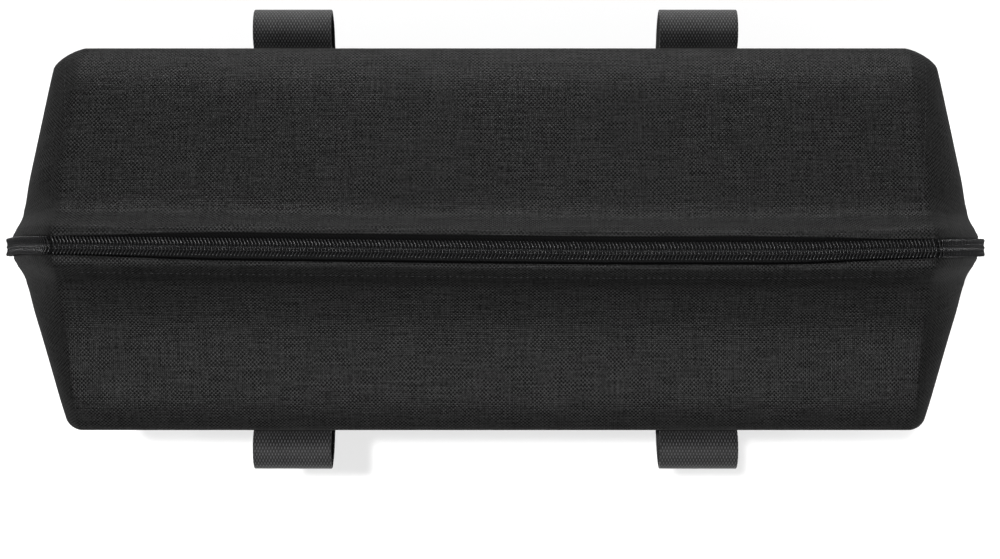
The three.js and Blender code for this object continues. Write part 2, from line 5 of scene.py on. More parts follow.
import bmesh
import bpy
from mathutils import Matrix, Vector, noise


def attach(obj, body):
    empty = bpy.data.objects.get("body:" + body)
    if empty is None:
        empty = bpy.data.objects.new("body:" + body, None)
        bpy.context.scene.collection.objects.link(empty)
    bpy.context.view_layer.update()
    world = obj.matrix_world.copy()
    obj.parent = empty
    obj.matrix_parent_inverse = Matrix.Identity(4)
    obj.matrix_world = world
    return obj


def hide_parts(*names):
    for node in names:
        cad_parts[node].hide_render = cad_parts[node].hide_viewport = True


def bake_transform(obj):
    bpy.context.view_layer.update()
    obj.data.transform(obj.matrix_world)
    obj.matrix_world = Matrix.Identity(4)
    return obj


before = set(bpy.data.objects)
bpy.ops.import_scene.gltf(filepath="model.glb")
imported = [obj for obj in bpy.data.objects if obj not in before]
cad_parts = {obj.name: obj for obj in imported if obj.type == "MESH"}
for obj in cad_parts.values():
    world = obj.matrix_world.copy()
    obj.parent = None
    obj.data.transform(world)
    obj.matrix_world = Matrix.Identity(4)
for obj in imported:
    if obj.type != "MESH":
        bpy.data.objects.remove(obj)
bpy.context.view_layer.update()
scene = bpy.context.scene

# Camera: it looks straight down from 1.3 m above the floor, with the back of the bag at the top of
# the picture. At the shoulder of the bag the picture is 475 mm wide.
CAMERA_HEIGHT = 1.3
SHOULDER_HEIGHT = 0.245
PICTURE_WIDTH = 0.475
camera_data = bpy.data.cameras.new("camera")
camera_data.sensor_width = 36
camera_data.lens = 36 * (CAMERA_HEIGHT - SHOULDER_HEIGHT) / PICTURE_WIDTH
camera_data.shift_x = 0.0045
camera_data.shift_y = -0.0403
camera = bpy.data.objects.new("camera", camera_data)
camera.location = (0, 0, CAMERA_HEIGHT)
scene.collection.objects.link(camera)
scene.camera = camera

# Floor and light: a white sweep that reads as pure white where no shadow falls, a small key light a
# little behind and left of the camera, which throws the narrow shadow, and softboxes that graze the
# yarns from the front and from low behind the bag.


def linear(code):
    """sRGB hex, as the eye sees it, to the linear colour that a shader wants."""
    channels = [int(code[i : i + 2], 16) / 255 for i in (1, 3, 5)]
    return [c / 12.92 if c <= 0.04045 else ((c + 0.055) / 1.055) ** 2.4 for c in channels] + [1]


def feed(owner, socket, value):
    """Links another node's output to an input, or puts a plain value on it."""
    if isinstance(value, bpy.types.NodeSocket):
        owner.node_tree.links.new(value, socket)
    else:
        socket.default_value = value


def add_node(owner, kind, numbered=None, **named):
    """Adds a node to a material or world, with its options and inputs by name or by number."""
    made = owner.node_tree.nodes.new("ShaderNode" + kind)
    for key, value in named.items():
        if hasattr(made, key):
            setattr(made, key, value)
        else:
            feed(owner, made.inputs[key.replace("_", " ")], value)
    for number, value in (numbered or {}).items():
        feed(owner, made.inputs[number], value)
    return made


def calc(owner, operation, *terms):
    """One step of arithmetic, each term a socket or a number."""
    return add_node(owner, "Math", dict(enumerate(terms)), operation=operation).outputs[0]


def ranged(owner, value, **limits):
    """A value brought from one range to another, both 0 to 1 unless they are given."""
    return add_node(owner, "MapRange", Value=value, **limits).outputs[0]


def clouds(owner, place, scale, detail):
    """Soft random patches, a number of them to the metre."""
    return add_node(owner, "TexNoise", Vector=place, Scale=scale, Detail=detail).outputs["Fac"]


def new_material(name):
    made = bpy.data.materials.new(name)
    made.use_nodes = True
    return made


def put(name, bm, material):
    """Makes an object of a bmesh that was modelled in millimetres."""
    bmesh.ops.scale(bm, vec=(0.001, 0.001, 0.001), verts=bm.verts)
    mesh = bpy.data.meshes.new(name)
    bm.to_mesh(mesh)
    bm.free()
    for face in mesh.polygons:
        face.use_smooth = True
    mesh.materials.append(material)
    made = bpy.data.objects.new(name, mesh)
    scene.collection.objects.link(made)
    return made


# The camera sees a lit white sheet that fades into the white horizon between 0.5 and 1.3 m from the
# bag. What the sheet throws back on the bag is greyer, so that its low sides stay dark.
WHITE = linear("#ffffff")
paper = new_material("white_paper_sweep")
paper.node_tree.nodes.clear()
sheet = add_node(paper, "BsdfDiffuse", Color=linear("#e6e6e6")).outputs[0]
lift = add_node(paper, "Emission", Color=WHITE, Strength=0.15).outputs[0]
lifted = add_node(paper, "AddShader", {0: sheet, 1: lift}).outputs[0]
horizon = add_node(paper, "Emission", Color=WHITE, Strength=1.0).outputs[0]
floor_place = add_node(paper, "TexCoord").outputs["Object"]
from_bag = add_node(paper, "VectorMath", {0: floor_place}, operation="LENGTH").outputs["Value"]
far = ranged(paper, from_bag, From_Min=0.5, From_Max=1.3)
faded = add_node(paper, "MixShader", {0: far, 1: lifted, 2: horizon}).outputs[0]
bounce = add_node(paper, "BsdfDiffuse", Color=linear("#8c8c8c")).outputs[0]
to_camera = add_node(paper, "LightPath").outputs["Is Camera Ray"]
shown = add_node(paper, "MixShader", {0: to_camera, 1: bounce, 2: faded}).outputs[0]
add_node(paper, "OutputMaterial", Surface=shown)
FLOOR_HALF = 2500
FLOOR_DROP = 0.4  # keeps the floor clear of the base's underside
bm = bmesh.new()
bmesh.ops.create_grid(bm, x_segments=1, y_segments=1, size=FLOOR_HALF)
bmesh.ops.translate(bm, verts=bm.verts, vec=(0, 0, -FLOOR_DROP))
floor = put("floor", bm, paper)

# Light from all round: full white to the camera, 0.3 on what is matt, and 0.125 in reflections,
# which keeps the cloth from shining where it is seen at a flat angle.
MATT_LEVEL = 0.3
MIRROR_SHIFT = -0.25  # (0.125 - 0.3) / (1.0 - 0.3)
world = bpy.data.worlds.new("studio")
world.use_nodes = True
scene.world = world
world.node_tree.nodes.clear()
ray = add_node(world, "LightPath").outputs
share = calc(world, "ADD", ray["Is Camera Ray"], calc(world, "MULTIPLY", ray["Is Glossy Ray"], MIRROR_SHIFT))
brightness = ranged(world, share, To_Min=MATT_LEVEL, To_Max=1.0, clamp=False)
sky = add_node(world, "Background", Strength=brightness, Color=WHITE).outputs[0]
add_node(world, "OutputWorld", Surface=sky)


def softbox(name, place, size, watts):
    """A square lamp that faces the upper part of the bag."""
    data = bpy.data.lights.new(name, "AREA")
    data.shape = "SQUARE"
    data.size = size
    data.energy = watts
    lamp = bpy.data.objects.new(name, data)
    lamp.location = place
    lamp.rotation_euler = (Vector((0, 0, 0.2)) - Vector(place)).to_track_quat("-Z", "Y").to_euler()
    scene.collection.objects.link(lamp)
    return lamp


# The key is hidden from reflections, where it would leave hot spots. The small lamp over the ridge
# sets a dot of light on every turn of the coils.
softbox("key", (-0.16, 0.15, 2.3), 0.07, 33).visible_glossy = False
softbox("front_softbox", (0, -0.8, 2.1), 0.3, 26)
softbox("back_softbox", (0, 1.4, 0.42), 0.4, 11)
softbox("top_glint", (-0.05, -0.35, 2.2), 0.05, 4)
softbox("back_left_softbox", (-1.1, 1.2, 0.45), 0.4, 3)
softbox("back_right_softbox", (1.1, 1.2, 0.45), 0.4, 3)

scene.view_settings.view_transform = "Standard"

# Front and back walls: coarse plain-woven polyester in black and charcoal yarns, cut square and
# sewn into a box over foam, so each wall is nearly flat with a slight belly and soft corners.
# Lengths are in millimetres from here on.
SHOULDER = 245
WALL_TOP = 241
RIDGE_Y = -4
FOOT_RADIUS = 8
FOOT_STEPS = 5
CLOTH = 1.2
SIGN = {"front": -1, "back": 1}
MIRROR = {"left": -1, "right": 1}
# Half measures at the foot and at the shoulder: along each wall, through the depth, and out to the
# fold down the middle of a side wall
HALF = {"front": (195, 202.8), "back": (201, 208.4)}
HALF_DEPTH = (86, 90.8)
PROW = (206, 228)
# How far a round corner reaches along the wall and along the side wall, and how full it is
CORNER_CUT = {"front": (6, 5, 0.55), "back": (14, 10, 0.35)}
CORNER_STEPS = 12
WALL_STEPS = 120
WALL_ROWS = 56
BELLY_SEED = {"front": 3, "back": 8}


def mix(a, b, t):
    return a + (b - a) * t


def plan_at(z, depth=0):
    """The six corners of the box at a height, drawn in by a depth below its outer face."""
    t = z / SHOULDER
    half_depth, prow = mix(*HALF_DEPTH, t), mix(*PROW, t)
    front, back = mix(*HALF["front"], t), mix(*HALF["back"], t)
    corners = {
        "front_left": (-front, -half_depth),
        "front_right": (front, -half_depth),
        "prow_right": (prow, RIDGE_Y),
        "back_right": (back, half_depth),
        "back_left": (-back, half_depth),
        "prow_left": (-prow, RIDGE_Y),
    }
    ring = [Vector(p) for p in corners.values()]
    for i, (name, corner) in enumerate(zip(corners, ring)):
        into = (corner - ring[i - 1]).normalized()
        onward = (ring[(i + 1) % 6] - corner).normalized()
        inward = Vector((-into.y - onward.y, into.x + onward.x))
        corners[name] = corner + inward * (2 * depth / inward.length_squared)
    return corners


def bezier(p0, p1, p2, p3, t):
    a, b, c = p0.lerp(p1, t), p1.lerp(p2, t), p2.lerp(p3, t)
    return a.lerp(b, t).lerp(b.lerp(c, t), t)


def half_corner(plan, side, hand, depth=0):
    """Seven control points of a round corner, from the front or back wall to the side wall. The
    first four make its half as far as the seam, the last four the other half."""
    corner, prow = plan[f"{side}_{hand}"], plan[f"prow_{hand}"]
    other = plan[f"{side}_{'left' if hand == 'right' else 'right'}"]
    cut_wall, cut_side, fullness = CORNER_CUT[side]
    a = corner + (other - corner).normalized() * max(cut_wall - depth, 2)
    b = corner + (prow - corner).normalized() * max(cut_side - depth, 2)
    near_a, near_b = a.lerp(corner, fullness), b.lerp(corner, fullness)
    middle = (a + 3 * near_a + 3 * near_b + b) / 8
    to_seam = a, (a + near_a) / 2, (a + 2 * near_a + near_b) / 4
    from_seam = (near_a + 2 * near_b + b) / 4, (near_b + b) / 2, b
    return *to_seam, middle, *from_seam


def ripple(place, size, seed):
    """Smooth unevenness between -1 and 1, with the given distance between one swell and the next."""
    return noise.noise(place / size + Vector((seed, seed * 1.7, seed * 2.3)))


def wall_row(side, z, depth=0):
    plan = plan_at(min(z, SHOULDER), depth)
    left, right = half_corner(plan, side, "left", depth), half_corner(plan, side, "right", depth)
    row = [bezier(*left[:4], 1 - i / CORNER_STEPS) for i in range(CORNER_STEPS)]
    row += [left[0].lerp(right[0], i / WALL_STEPS) for i in range(WALL_STEPS + 1)]
    row += [bezier(*right[:4], (i + 1) / CORNER_STEPS) for i in range(CORNER_STEPS)]
    return [Vector((p.x, p.y, z)) for p in row]


def wall_belly(side, x, z):
    """How far the cloth of a front or back wall stands out from the plane between its edges."""
    across = max(0, 1 - (x / HALF[side][1]) ** 2)
    up = math.sin(math.pi * min(max(z / WALL_TOP, 0), 1))
    place, seed = Vector((x, 0, z)), BELLY_SEED[side]
    swell = ripple(place, 95, seed) * 0.9 + ripple(place, 38, seed + 5) * 0.3
    return (1.6 * across**0.5 + swell * min(1, across * 4)) * up**0.7


def thicken(piece, thickness):
    """Thickens a sheet inwards from its outer face."""
    wall = piece.modifiers.new("thickness", "SOLIDIFY")
    wall.thickness = thickness / 1000
    wall.offset = -1


def facing(rows, outwards):
    """Rows as they run, or each one reversed, so that the cloth's face points outwards."""
    return rows if outwards else [row[::-1] for row in rows]


def cloth(name, rows, material, thickness=CLOTH, fanned=False):
    """A grid of cloth laid over rows of points, with its UV map in metres along the yarns. A fanned
    strip takes its lengths from its middle, so a turn in its own plane doesn't shear the weave."""
    across, along = len(rows[0]), len(rows)
    bm = bmesh.new()
    bmesh.ops.create_grid(bm, x_segments=across - 1, y_segments=along - 1, size=0.5)
    uv = bm.loops.layers.uv.new("cloth")
    reach, climb = [], [[0.0] * across]
    for j, row in enumerate(rows):
        lengths = [0.0]
        for a, b in zip(row, row[1:]):
            lengths.append(lengths[-1] + (b - a).length)
        reach.append([length - lengths[across // 2] for length in lengths])
        if j:
            steps = [(p - below).length for p, below in zip(row, rows[j - 1])]
            if fanned:
                steps = [steps[across // 2]] * across
            climb.append([low + step for low, step in zip(climb[-1], steps)])
    for vert in bm.verts:
        i = round((vert.co.x + 0.5) * (across - 1))
        j = round((vert.co.y + 0.5) * (along - 1))
        for loop in vert.link_loops:
            loop[uv].uv = (reach[j][i] / 1000, climb[j][i] / 1000)
        vert.co = rows[j][i]
    made = put(name, bm, material)
    if thickness:
        thicken(made, thickness)
    return made


def between(owner, factor, dark, light):
    """A colour between two, as far along as the factor says."""
    ends = {0: factor, 6: linear(dark), 7: linear(light)}
    return add_node(owner, "Mix", ends, data_type="RGBA").outputs[2]


def bumped(owner, height, strength, depth):
    """A normal for relief of a depth in metres."""
    return add_node(owner, "Bump", Height=height, Strength=strength, Distance=depth).outputs[0]


def surface(material, **inputs):
    """Sets inputs of the material's own shader."""
    shader = material.node_tree.nodes["Principled BSDF"]
    for key, value in inputs.items():
        feed(material, shader.inputs[key.replace("_", " ")], value)


# The cloth's plain weave: black warp and charcoal weft, 11 by 10 yarns to the centimetre. It shows as
# a fine check where one lies over the other, with thick slubs that streak it, most of them sideways.
# The yarns wander by half a millimetre, and only their lit crowns gleam.
YARN_ACROSS = 0.91
YARN_ALONG = 0.98
CHECK = 0.7
SLUB = 0.72
polyester = new_material("slubbed_woven_polyester")
cloth_at = add_node(polyester, "UVMap", uv_map="cloth").outputs[0]
wander = add_node(polyester, "TexNoise", Vector=cloth_at, noise_dimensions="2D", Scale=26, Detail=1)
drift = {0: wander.outputs["Color"], 1: (0.0012, 0.0012, 0), 2: (-0.0006, -0.0006, 0)}
push = add_node(polyester, "VectorMath", drift, operation="MULTIPLY_ADD").outputs[0]
bent = add_node(polyester, "VectorMath", {0: cloth_at, 1: push}, operation="ADD").outputs[0]
yarns = add_node(polyester, "SeparateXYZ", {0: bent}).outputs


def waves(source, pitch):
    """A wave that changes sign from one yarn to the next."""
    return calc(polyester, "SINE", calc(polyester, "MULTIPLY", source, math.pi * 1000 / pitch))


def streaks(across, along, seed):
    """Noise in streaks or spots of a size across and along the cloth."""
    scale = (1000 / across, 1000 / along, 1)
    spread = add_node(polyester, "Mapping", Vector=bent, Scale=scale, Location=(seed, seed, 0))
    flat = {"Vector": spread.outputs[0], "noise_dimensions": "2D"}
    return add_node(polyester, "TexNoise", **flat, Scale=1, Detail=1).outputs["Fac"]


def plus(a, b, amount):
    return calc(polyester, "MULTIPLY_ADD", b, amount, a)


over = calc(polyester, "MULTIPLY", waves(yarns["X"], YARN_ACROSS), waves(yarns["Y"], YARN_ALONG))
firm = ranged(polyester, over, From_Min=-0.45, From_Max=0.45, To_Min=-1)
weft_slub = streaks(17, YARN_ALONG * 1.15, 3)
warp_slub = streaks(YARN_ACROSS * 1.15, 21, 11)
patches = streaks(9, 7, 19)
crossing = streaks(YARN_ACROSS * 1.6, YARN_ALONG * 1.6, 29)
strength = ranged(polyester, patches, From_Min=0.34, From_Max=0.6, To_Min=0.35 * CHECK, To_Max=1.2 * CHECK)
checked = calc(polyester, "MULTIPLY", firm, strength)
slubbed = plus(plus(plus(checked, weft_slub, 1.3 * SLUB), warp_slub, 1.0 * SLUB), crossing, 1.6 * SLUB)
yarn_tone = ranged(polyester, slubbed, From_Min=1.95 * SLUB - 0.85, From_Max=1.95 * SLUB + 1.15)
surface(
    polyester,
    Base_Color=between(polyester, yarn_tone, "#030303", "#1e1e1e"),
    Specular_IOR_Level=ranged(polyester, yarn_tone, To_Min=0.07, To_Max=0.38),
    Normal=bumped(polyester, plus(calc(polyester, "ABSOLUTE", over), weft_slub, 0.9), 0.55, 0.00022),
    Roughness=0.5,
)

foot_turns = [math.pi / 2 * i / FOOT_STEPS for i in range(FOOT_STEPS)]
wall_heights = [FOOT_RADIUS * (1 - math.cos(turn)) for turn in foot_turns]
wall_insets = [FOOT_RADIUS * (1 - math.sin(turn)) for turn in foot_turns]
wall_heights += [mix(FOOT_RADIUS, WALL_TOP, i / WALL_ROWS) for i in range(WALL_ROWS + 1)]
wall_insets += [0] * (WALL_ROWS + 1)
wall_rows = {}
for side, sign in SIGN.items():
    rows = []
    for z, inset in zip(wall_heights, wall_insets):
        row = wall_row(side, z, inset)
        for p in row:
            p.y += sign * wall_belly(side, p.x, z)
        rows.append(row)
    wall_rows[side] = facing(rows, side == "front")
    wall = cloth(f"{side}_wall", wall_rows[side], polyester)
    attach(wall, "shell")
    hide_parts(f"{side}_panel")

# Side walls: the same cloth, in one panel from corner seam to corner seam. The zip comes down over
# the end and is sewn along the middle, where the cloth is drawn up to it on both sides.
TAIL_BOTTOM = 160
# Distance from the zip, and how far the cloth stands out there
DRAWN_UP = [(0, 0.9), (5.4, 2.6), (6.2, 3.5), (8, 2.5), (9.5, 1.8), (12, 0.9), (14, 0.4), (17, 0.1), (20, 0)]
# Distances of the grid's lines from the zip, close together where the cloth is drawn up
SIDE_STEPS = [0, 2.5, 4.6, 5.4, 6.2, 7, 8, 9.5, 11, 12.5, 14, 16, 19] + list(range(23, 74, 5))
SIDE_REACH = 80


def through(knots, x):
    """Straight-line reading between knots."""
    for (x0, y0), (x1, y1) in zip(knots, knots[1:]):
        if x <= x1:
            return mix(y0, y1, (x - x0) / (x1 - x0))
    return knots[-1][1]


def smooth_step(low, high, x):
    t = min(max((x - low) / (high - low), 0), 1)
    return t * t * (3 - 2 * t)


def side_x(z, y, depth=0):
    """The side wall's outer face at a height and a place between its corners, without the corners."""
    plan = plan_at(z, depth)
    prow = plan["prow_right"]
    corner = plan["back_right"] if y > RIDGE_Y else plan["front_right"]
    return mix(prow.x, corner.x, (y - RIDGE_Y) / (corner.y - RIDGE_Y))


def side_row(z, inset, hand, drawing=1):
    """A level line round a side wall, from the seam in its front corner to that in its back one."""
    mirror = MIRROR[hand]
    plan = plan_at(z, inset)
    front, back = half_corner(plan, "front", "right", inset), half_corner(plan, "back", "right", inset)
    row = [Vector((*bezier(*front[3:], i / CORNER_STEPS), z)) for i in range(CORNER_STEPS)]
    drawn = drawing * smooth_step(TAIL_BOTTOM - 32, TAIL_BOTTOM + 6, z)  # none well below the zip's end
    for sign, end in ((-1, front[6]), (1, back[6])):
        reach = abs(end.y - RIDGE_Y)
        places = [s * reach / SIDE_REACH if s > 19 else s for s in SIDE_STEPS]
        part = []
        for d in places + [reach]:
            y = RIDGE_Y + sign * d
            x = side_x(z, y, inset) + drawn * through(DRAWN_UP, d)
            swell = smooth_step(0, 14, d) * smooth_step(0, 12, reach - d)
            belly = math.sin(math.pi * min(z / WALL_TOP, 1)) ** 0.7 * swell
            place = Vector((y, mirror * 40, z))  # another unevenness on each side
            x += belly * (0.6 + 0.9 * ripple(place, 80, 14) + 0.35 * ripple(place, 33, 2))
            part.append(Vector((x, y, z)))
        row += part[::-1] if sign < 0 else part[1:]
    row += [Vector((*bezier(*back[3:], 1 - i / CORNER_STEPS), z)) for i in range(1, CORNER_STEPS + 1)]
    return [Vector((mirror * p.x, p.y, p.z)) for p in row]


for hand in MIRROR:
    rows = [side_row(z, inset, hand) for z, inset in zip(wall_heights, wall_insets)]
    side_wall = cloth(f"{hand}_side_wall", facing(rows, hand == "right"), polyester)
    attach(side_wall, "shell")
    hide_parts(f"{hand}_side_panel", f"{hand}_front_tail_hem", f"{hand}_back_tail_hem")


# Base: one flat panel of the same cloth, sewn in all round on the bag's underside. Its faces are
# flat-shaded, as nothing in it is round.
def ring_at(z, depth, steps=6):
    """The box's plan at a height as one closed line, seen from above against the clock."""
    plan = plan_at(z, depth)
    ring = []
    for side, hand in (("front", "left"), ("front", "right"), ("back", "right"), ("back", "left")):
        curve = half_corner(plan, side, hand, depth)
        arc = [bezier(*curve[:4], i / steps) for i in range(steps)]
        arc += [bezier(*curve[3:], i / steps) for i in range(steps + 1)]
        turn = (side == "front") == (hand == "left")
        ring += arc[::-1] if turn else arc
        if not turn:
            ring.append(plan[f"prow_{hand}"])
    return [Vector((p.x, p.y, z)) for p in ring]


bm = bmesh.new()
bm.faces.new([bm.verts.new(p) for p in ring_at(0, FOOT_RADIUS - 1)][::-1])
bmesh.ops.inset_region(bm, faces=bm.faces[:], thickness=6, depth=0)
bmesh.ops.triangulate(bm, faces=[f for f in bm.faces if len(f.verts) > 4])
base_uv = bm.loops.layers.uv.new("cloth")
for face in bm.faces:
    for loop in face.loops:
        loop[base_uv].uv = (loop.vert.co.x / 1000, loop.vert.co.y / 1000)
base = put("base", bm, polyester)
for face in base.data.polygons:
    face.use_smooth = False
thicken(base, CLOTH)
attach(base, "shell")
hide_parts("base_panel")

# The top, in two halves: each is one strip of the same cloth that runs from side wall to side wall,
# over the hip at each end, and is rolled into a hem that stands up beside the zip.
TAPE_TOP = 291
TOP_CLOTH = 0.9
RUN = {"front": 86.8, "back": 94.8}
TAIL_FOLD = Vector((PROW[1] - PROW[0], 0, SHOULDER)).normalized()
# Distance from the zip, height over the ridge's length, and how far out the same cloth is drawn at
# the foot of the hip
ROOF = {
    "front": [
        (86.73, 241, 0), (86.7, 244.6, 0), (85.4, 248.6, 0), (82.2, 252.2, 0), (78, 255.2, 0),
        (73, 257.9, 0), (67, 259.7, 0), (59, 261, 0), (50, 262.4, 0), (42, 264.6, 0),
        (35, 267.6, 0), (29, 271.2, 0), (24, 274.6, 0), (20, 277.6, 0.1), (17.2, 280, 0.35),
    ],
    "back": [
        (94.73, 241, 0), (94.6, 244.8, 0), (93.1, 249.3, 0), (89.9, 253.4, 0), (85.5, 257, 0),
        (80, 260.6, 0), (74, 263.3, 0), (66, 265.8, 0), (56, 268.6, 0), (44, 272, 0),
        (33, 275, 0), (25, 277.2, 0), (20.4, 278.8, 0.1), (17.4, 280.4, 0.35),
    ],
}
HEM = [
    (15.4, 282.2, 0.3), (13.3, 286.0, 0.6), (11, 289.9, 1.3), (8.7, 292.8, 2.3), (7.1, 293.7, 3.2),
    (6.3, 293.6, 3.5), (5.9, 293.0, 3.3), (6.0, 292.3, 2.6), (7, 291.8, 1.9), (9, 290.9, 1.2),
]
EDGE_SHIFT = {"front": 0, "back": 0.7}
SAG_SEED = {"front": 21, "back": 27}
BEND_START = {"left": 201, "right": 199}
HIP_STEPS = 16
ROOF_STEPS = 130
# How far the zip is sewn off its straight line: it lies nearer the front right of the middle
ZIP_WANDER = [(-240, 1.3), (-200, 1.3), (-90, 0), (-30, -0.7), (50, -1.5), (140, -1.5), (200, -0.2), (240, 0)]


def rounded(knots, spacing):
    """Points along a smooth line through the knots, about a spacing apart."""
    line = []
    count = len(knots)
    for i in range(count - 1):
        p0, p1, p2, p3 = (Vector(knots[min(max(i + k, 0), count - 1)]) for k in (-1, 0, 1, 2))
        steps = max(1, round((p2 - p1).length / spacing))
        for s in range(steps):
            t = s / steps
            turn = 2 * p1 + (p2 - p0) * t + (2 * p0 - 5 * p1 + 4 * p2 - p3) * t**2
            line.append(0.5 * (turn + (3 * p1 - p0 - 3 * p2 + p3) * t**3))
    line.append(Vector(knots[-1]))
    return line


def over_the_end(start, foot, t, round_foot=0.16):
    """The path of a thread of the top from the level roof over the bend to the side wall."""
    wide, high = foot.x - start.x, start.z - foot.z
    near_start = Vector((start.x + 0.2 * wide, start.y, start.z))
    near_foot = foot + TAIL_FOLD * (round_foot * high)
    near_foot.y = mix(foot.y, start.y, 0.36)
    return bezier(start, near_start, near_foot, foot, t)


def hip_path(side, hand, distance, height, drawn):
    """One row's end, from the roof's edge to the foot, mirrored for the left-hand end afterwards."""
    sign = SIGN[side]
    corner = half_corner(plan_at(WALL_TOP), side, "right")
    corner = [Vector((p.x, p.y, WALL_TOP)) for p in corner]
    start_x = mix(BEND_START[hand], corner[0].x, min(distance / RUN[side], 1))
    start = Vector((start_x, RIDGE_Y + sign * distance, height))
    side_reach = abs(corner[6].y - RIDGE_Y)
    if distance < side_reach:
        y = RIDGE_Y + sign * distance
        foot = Vector((side_x(WALL_TOP, y), y, WALL_TOP))
    else:
        t = (distance - side_reach) / (ROOF[side][0][0] - side_reach)
        foot = bezier(*corner[3:], 1 - min(t, 1))
    foot.x += drawn + 0.25  # lies on the side wall
    foot.z = WALL_TOP - 0.6  # and laps its upper edge
    free = smooth_step(WALL_TOP, WALL_TOP + 12, height)
    round_foot = mix(0.16, 0.5, smooth_step(12, 34, distance))
    path = []
    for i in range(HIP_STEPS + 1):
        t = i / HIP_STEPS
        round_corner = bezier(*corner[:4], t)
        round_corner.z = mix(height, foot.z, t)
        path.append(round_corner.lerp(over_the_end(start, foot, t, round_foot), free))
    return path


def top_rows(side, knots, spacing=2.4, hem_spacing=0.9):
    """The grid of a top half, from the shoulder up to the zip, each row from end to end."""
    sign, seed = SIGN[side], SAG_SEED[side]
    line = rounded(knots[: len(ROOF[side])], spacing)
    if len(knots) > len(ROOF[side]):
        line = line[:-1] + rounded(knots[len(ROOF[side]) - 1 :], hem_spacing)
    rows = []
    for distance, height, drawn in line:
        right = hip_path(side, "right", distance, height, drawn)
        left = hip_path(side, "left", distance, height, drawn)
        left = [Vector((-p.x, p.y, p.z)) for p in left][::-1]
        row = left[:-1] + [left[-1].lerp(right[0], i / ROOF_STEPS) for i in range(ROOF_STEPS + 1)] + right[1:]
        near_zip = 1 - smooth_step(20, 70, distance)
        calm = smooth_step(0, 16, RUN[side] - distance) * smooth_step(14, 30, distance)
        for p in row:
            level = smooth_step(WALL_TOP, WALL_TOP + 30, p.z)
            p.y += through(ZIP_WANDER, p.x) * near_zip * level
            place = Vector((p.x, p.y, 0))
            p.z += calm * level * (0.9 * ripple(place, 75, seed) + 0.35 * ripple(place, 30, seed + 3))
            if distance < 9.5:  # the hem's lip, which the zip's bends pinch narrower at both ends
                edge = sign * EDGE_SHIFT[side] * (1 - smooth_step(120, 200, abs(p.x)))
                squeeze = smooth_step(120, 212, abs(p.x)) * smooth_step(236, 247, p.z)
                p.y += edge - sign * 1.9 * squeeze * (1 - smooth_step(6.5, 9.5, distance))
        rows.append(row)
    return rows


def bend_with_flap(piece):
    """Bakes the piece's placement into its mesh."""
    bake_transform(piece)


skin_rows = {}
for side in SIGN:
    skin_rows[side] = top_rows(side, ROOF[side] + HEM)
    skin = cloth(f"{side}_top_cloth", facing(skin_rows[side], side == "front"), polyester, TOP_CLOTH)
    bend_with_flap(skin)
    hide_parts(f"{side}_top_panel", f"{side}_left_hip", f"{side}_right_hip")

# Foam: sheets of white closed-cell polyethylene, 5 mm thick, cut to each panel and sewn in with it.
# It is dull and faintly mottled, with small cells that pit its face.
foam = new_material("closed_cell_polyethylene_foam")
foam_place = add_node(foam, "TexCoord").outputs["Object"]
cells = add_node(foam, "TexVoronoi", Vector=foam_place, Scale=700).outputs["Distance"]
mottle = clouds(foam, foam_place, 60, 3)
surface(
    foam,
    Base_Color=between(foam, mottle, "#d6d6d0", "#eeeeea"),
    Normal=bumped(foam, cells, 0.5, 0.0003),
    Roughness=0.75,
)

FOAM = 4.8
FOAM_DEPTH = 1.6
FOAM_FOOT = 7.4
FOAM_ROWS = 24
foam_heights = [mix(FOAM_FOOT, WALL_TOP - 2.5, i / FOAM_ROWS) for i in range(FOAM_ROWS + 1)]
for side, sign in SIGN.items():
    rows = []
    for z in foam_heights:
        row = wall_row(side, z, FOAM_DEPTH)
        for p in row:
            p.y += sign * 0.8 * wall_belly(side, p.x, z)
        rows.append(row)
    board = cloth(f"{side}_wall_foam", facing(rows, side == "front"), foam, FOAM)
    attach(board, "shell")
    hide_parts(f"{side}_foam")
for hand in MIRROR:
    rows = [side_row(z, FOAM_DEPTH, hand, 0) for z in foam_heights]
    board = cloth(f"{hand}_side_foam_sheet", facing(rows, hand == "right"), foam, FOAM)
    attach(board, "shell")
    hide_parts(f"{hand}_side_foam")


def extruded(bm, faces, vec):
    """Extrudes faces by a step, and gives the new corners."""
    made = bmesh.ops.extrude_face_region(bm, geom=faces)["geom"]
    fresh = [v for v in made if isinstance(v, bmesh.types.BMVert)]
    bmesh.ops.translate(bm, vec=vec, verts=fresh)
    return fresh


def soften(bm, edges, width, segments=3):
    """Rounds edges off, as they are on foam, castings and stampings."""
    shape = {"profile": 0.5, "affect": "EDGES", "material": -1, "clamp_overlap": True}
    bmesh.ops.bevel(bm, geom=edges, offset=width, segments=segments, **shape)


bm = bmesh.new()
bm.faces.new([bm.verts.new(p) for p in ring_at(CLOTH + 0.3, 2)])
extruded(bm, bm.faces[:], (0, 0, FOAM))
bmesh.ops.recalc_face_normals(bm, faces=bm.faces)
soften(bm, [e for e in bm.edges if abs(e.verts[0].co.z - e.verts[1].co.z) < 0.1], 0.8, 2)
base_board = put("base_foam_sheet", bm, foam)
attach(base_board, "shell")
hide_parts("base_foam")


def face_out(rows, i, j):
    """The direction out of a grid at one of its corners."""
    along = rows[j][min(i + 1, len(rows[j]) - 1)] - rows[j][max(i - 1, 0)]
    up = rows[min(j + 1, len(rows) - 1)][i] - rows[max(j - 1, 0)][i]
    return along.cross(up).normalized()


def sunk(rows, depth):
    """The same rows of points, moved by a depth, square to the surface."""
    return [[p + face_out(rows, i, j) * depth for i, p in enumerate(row)] for j, row in enumerate(rows)]


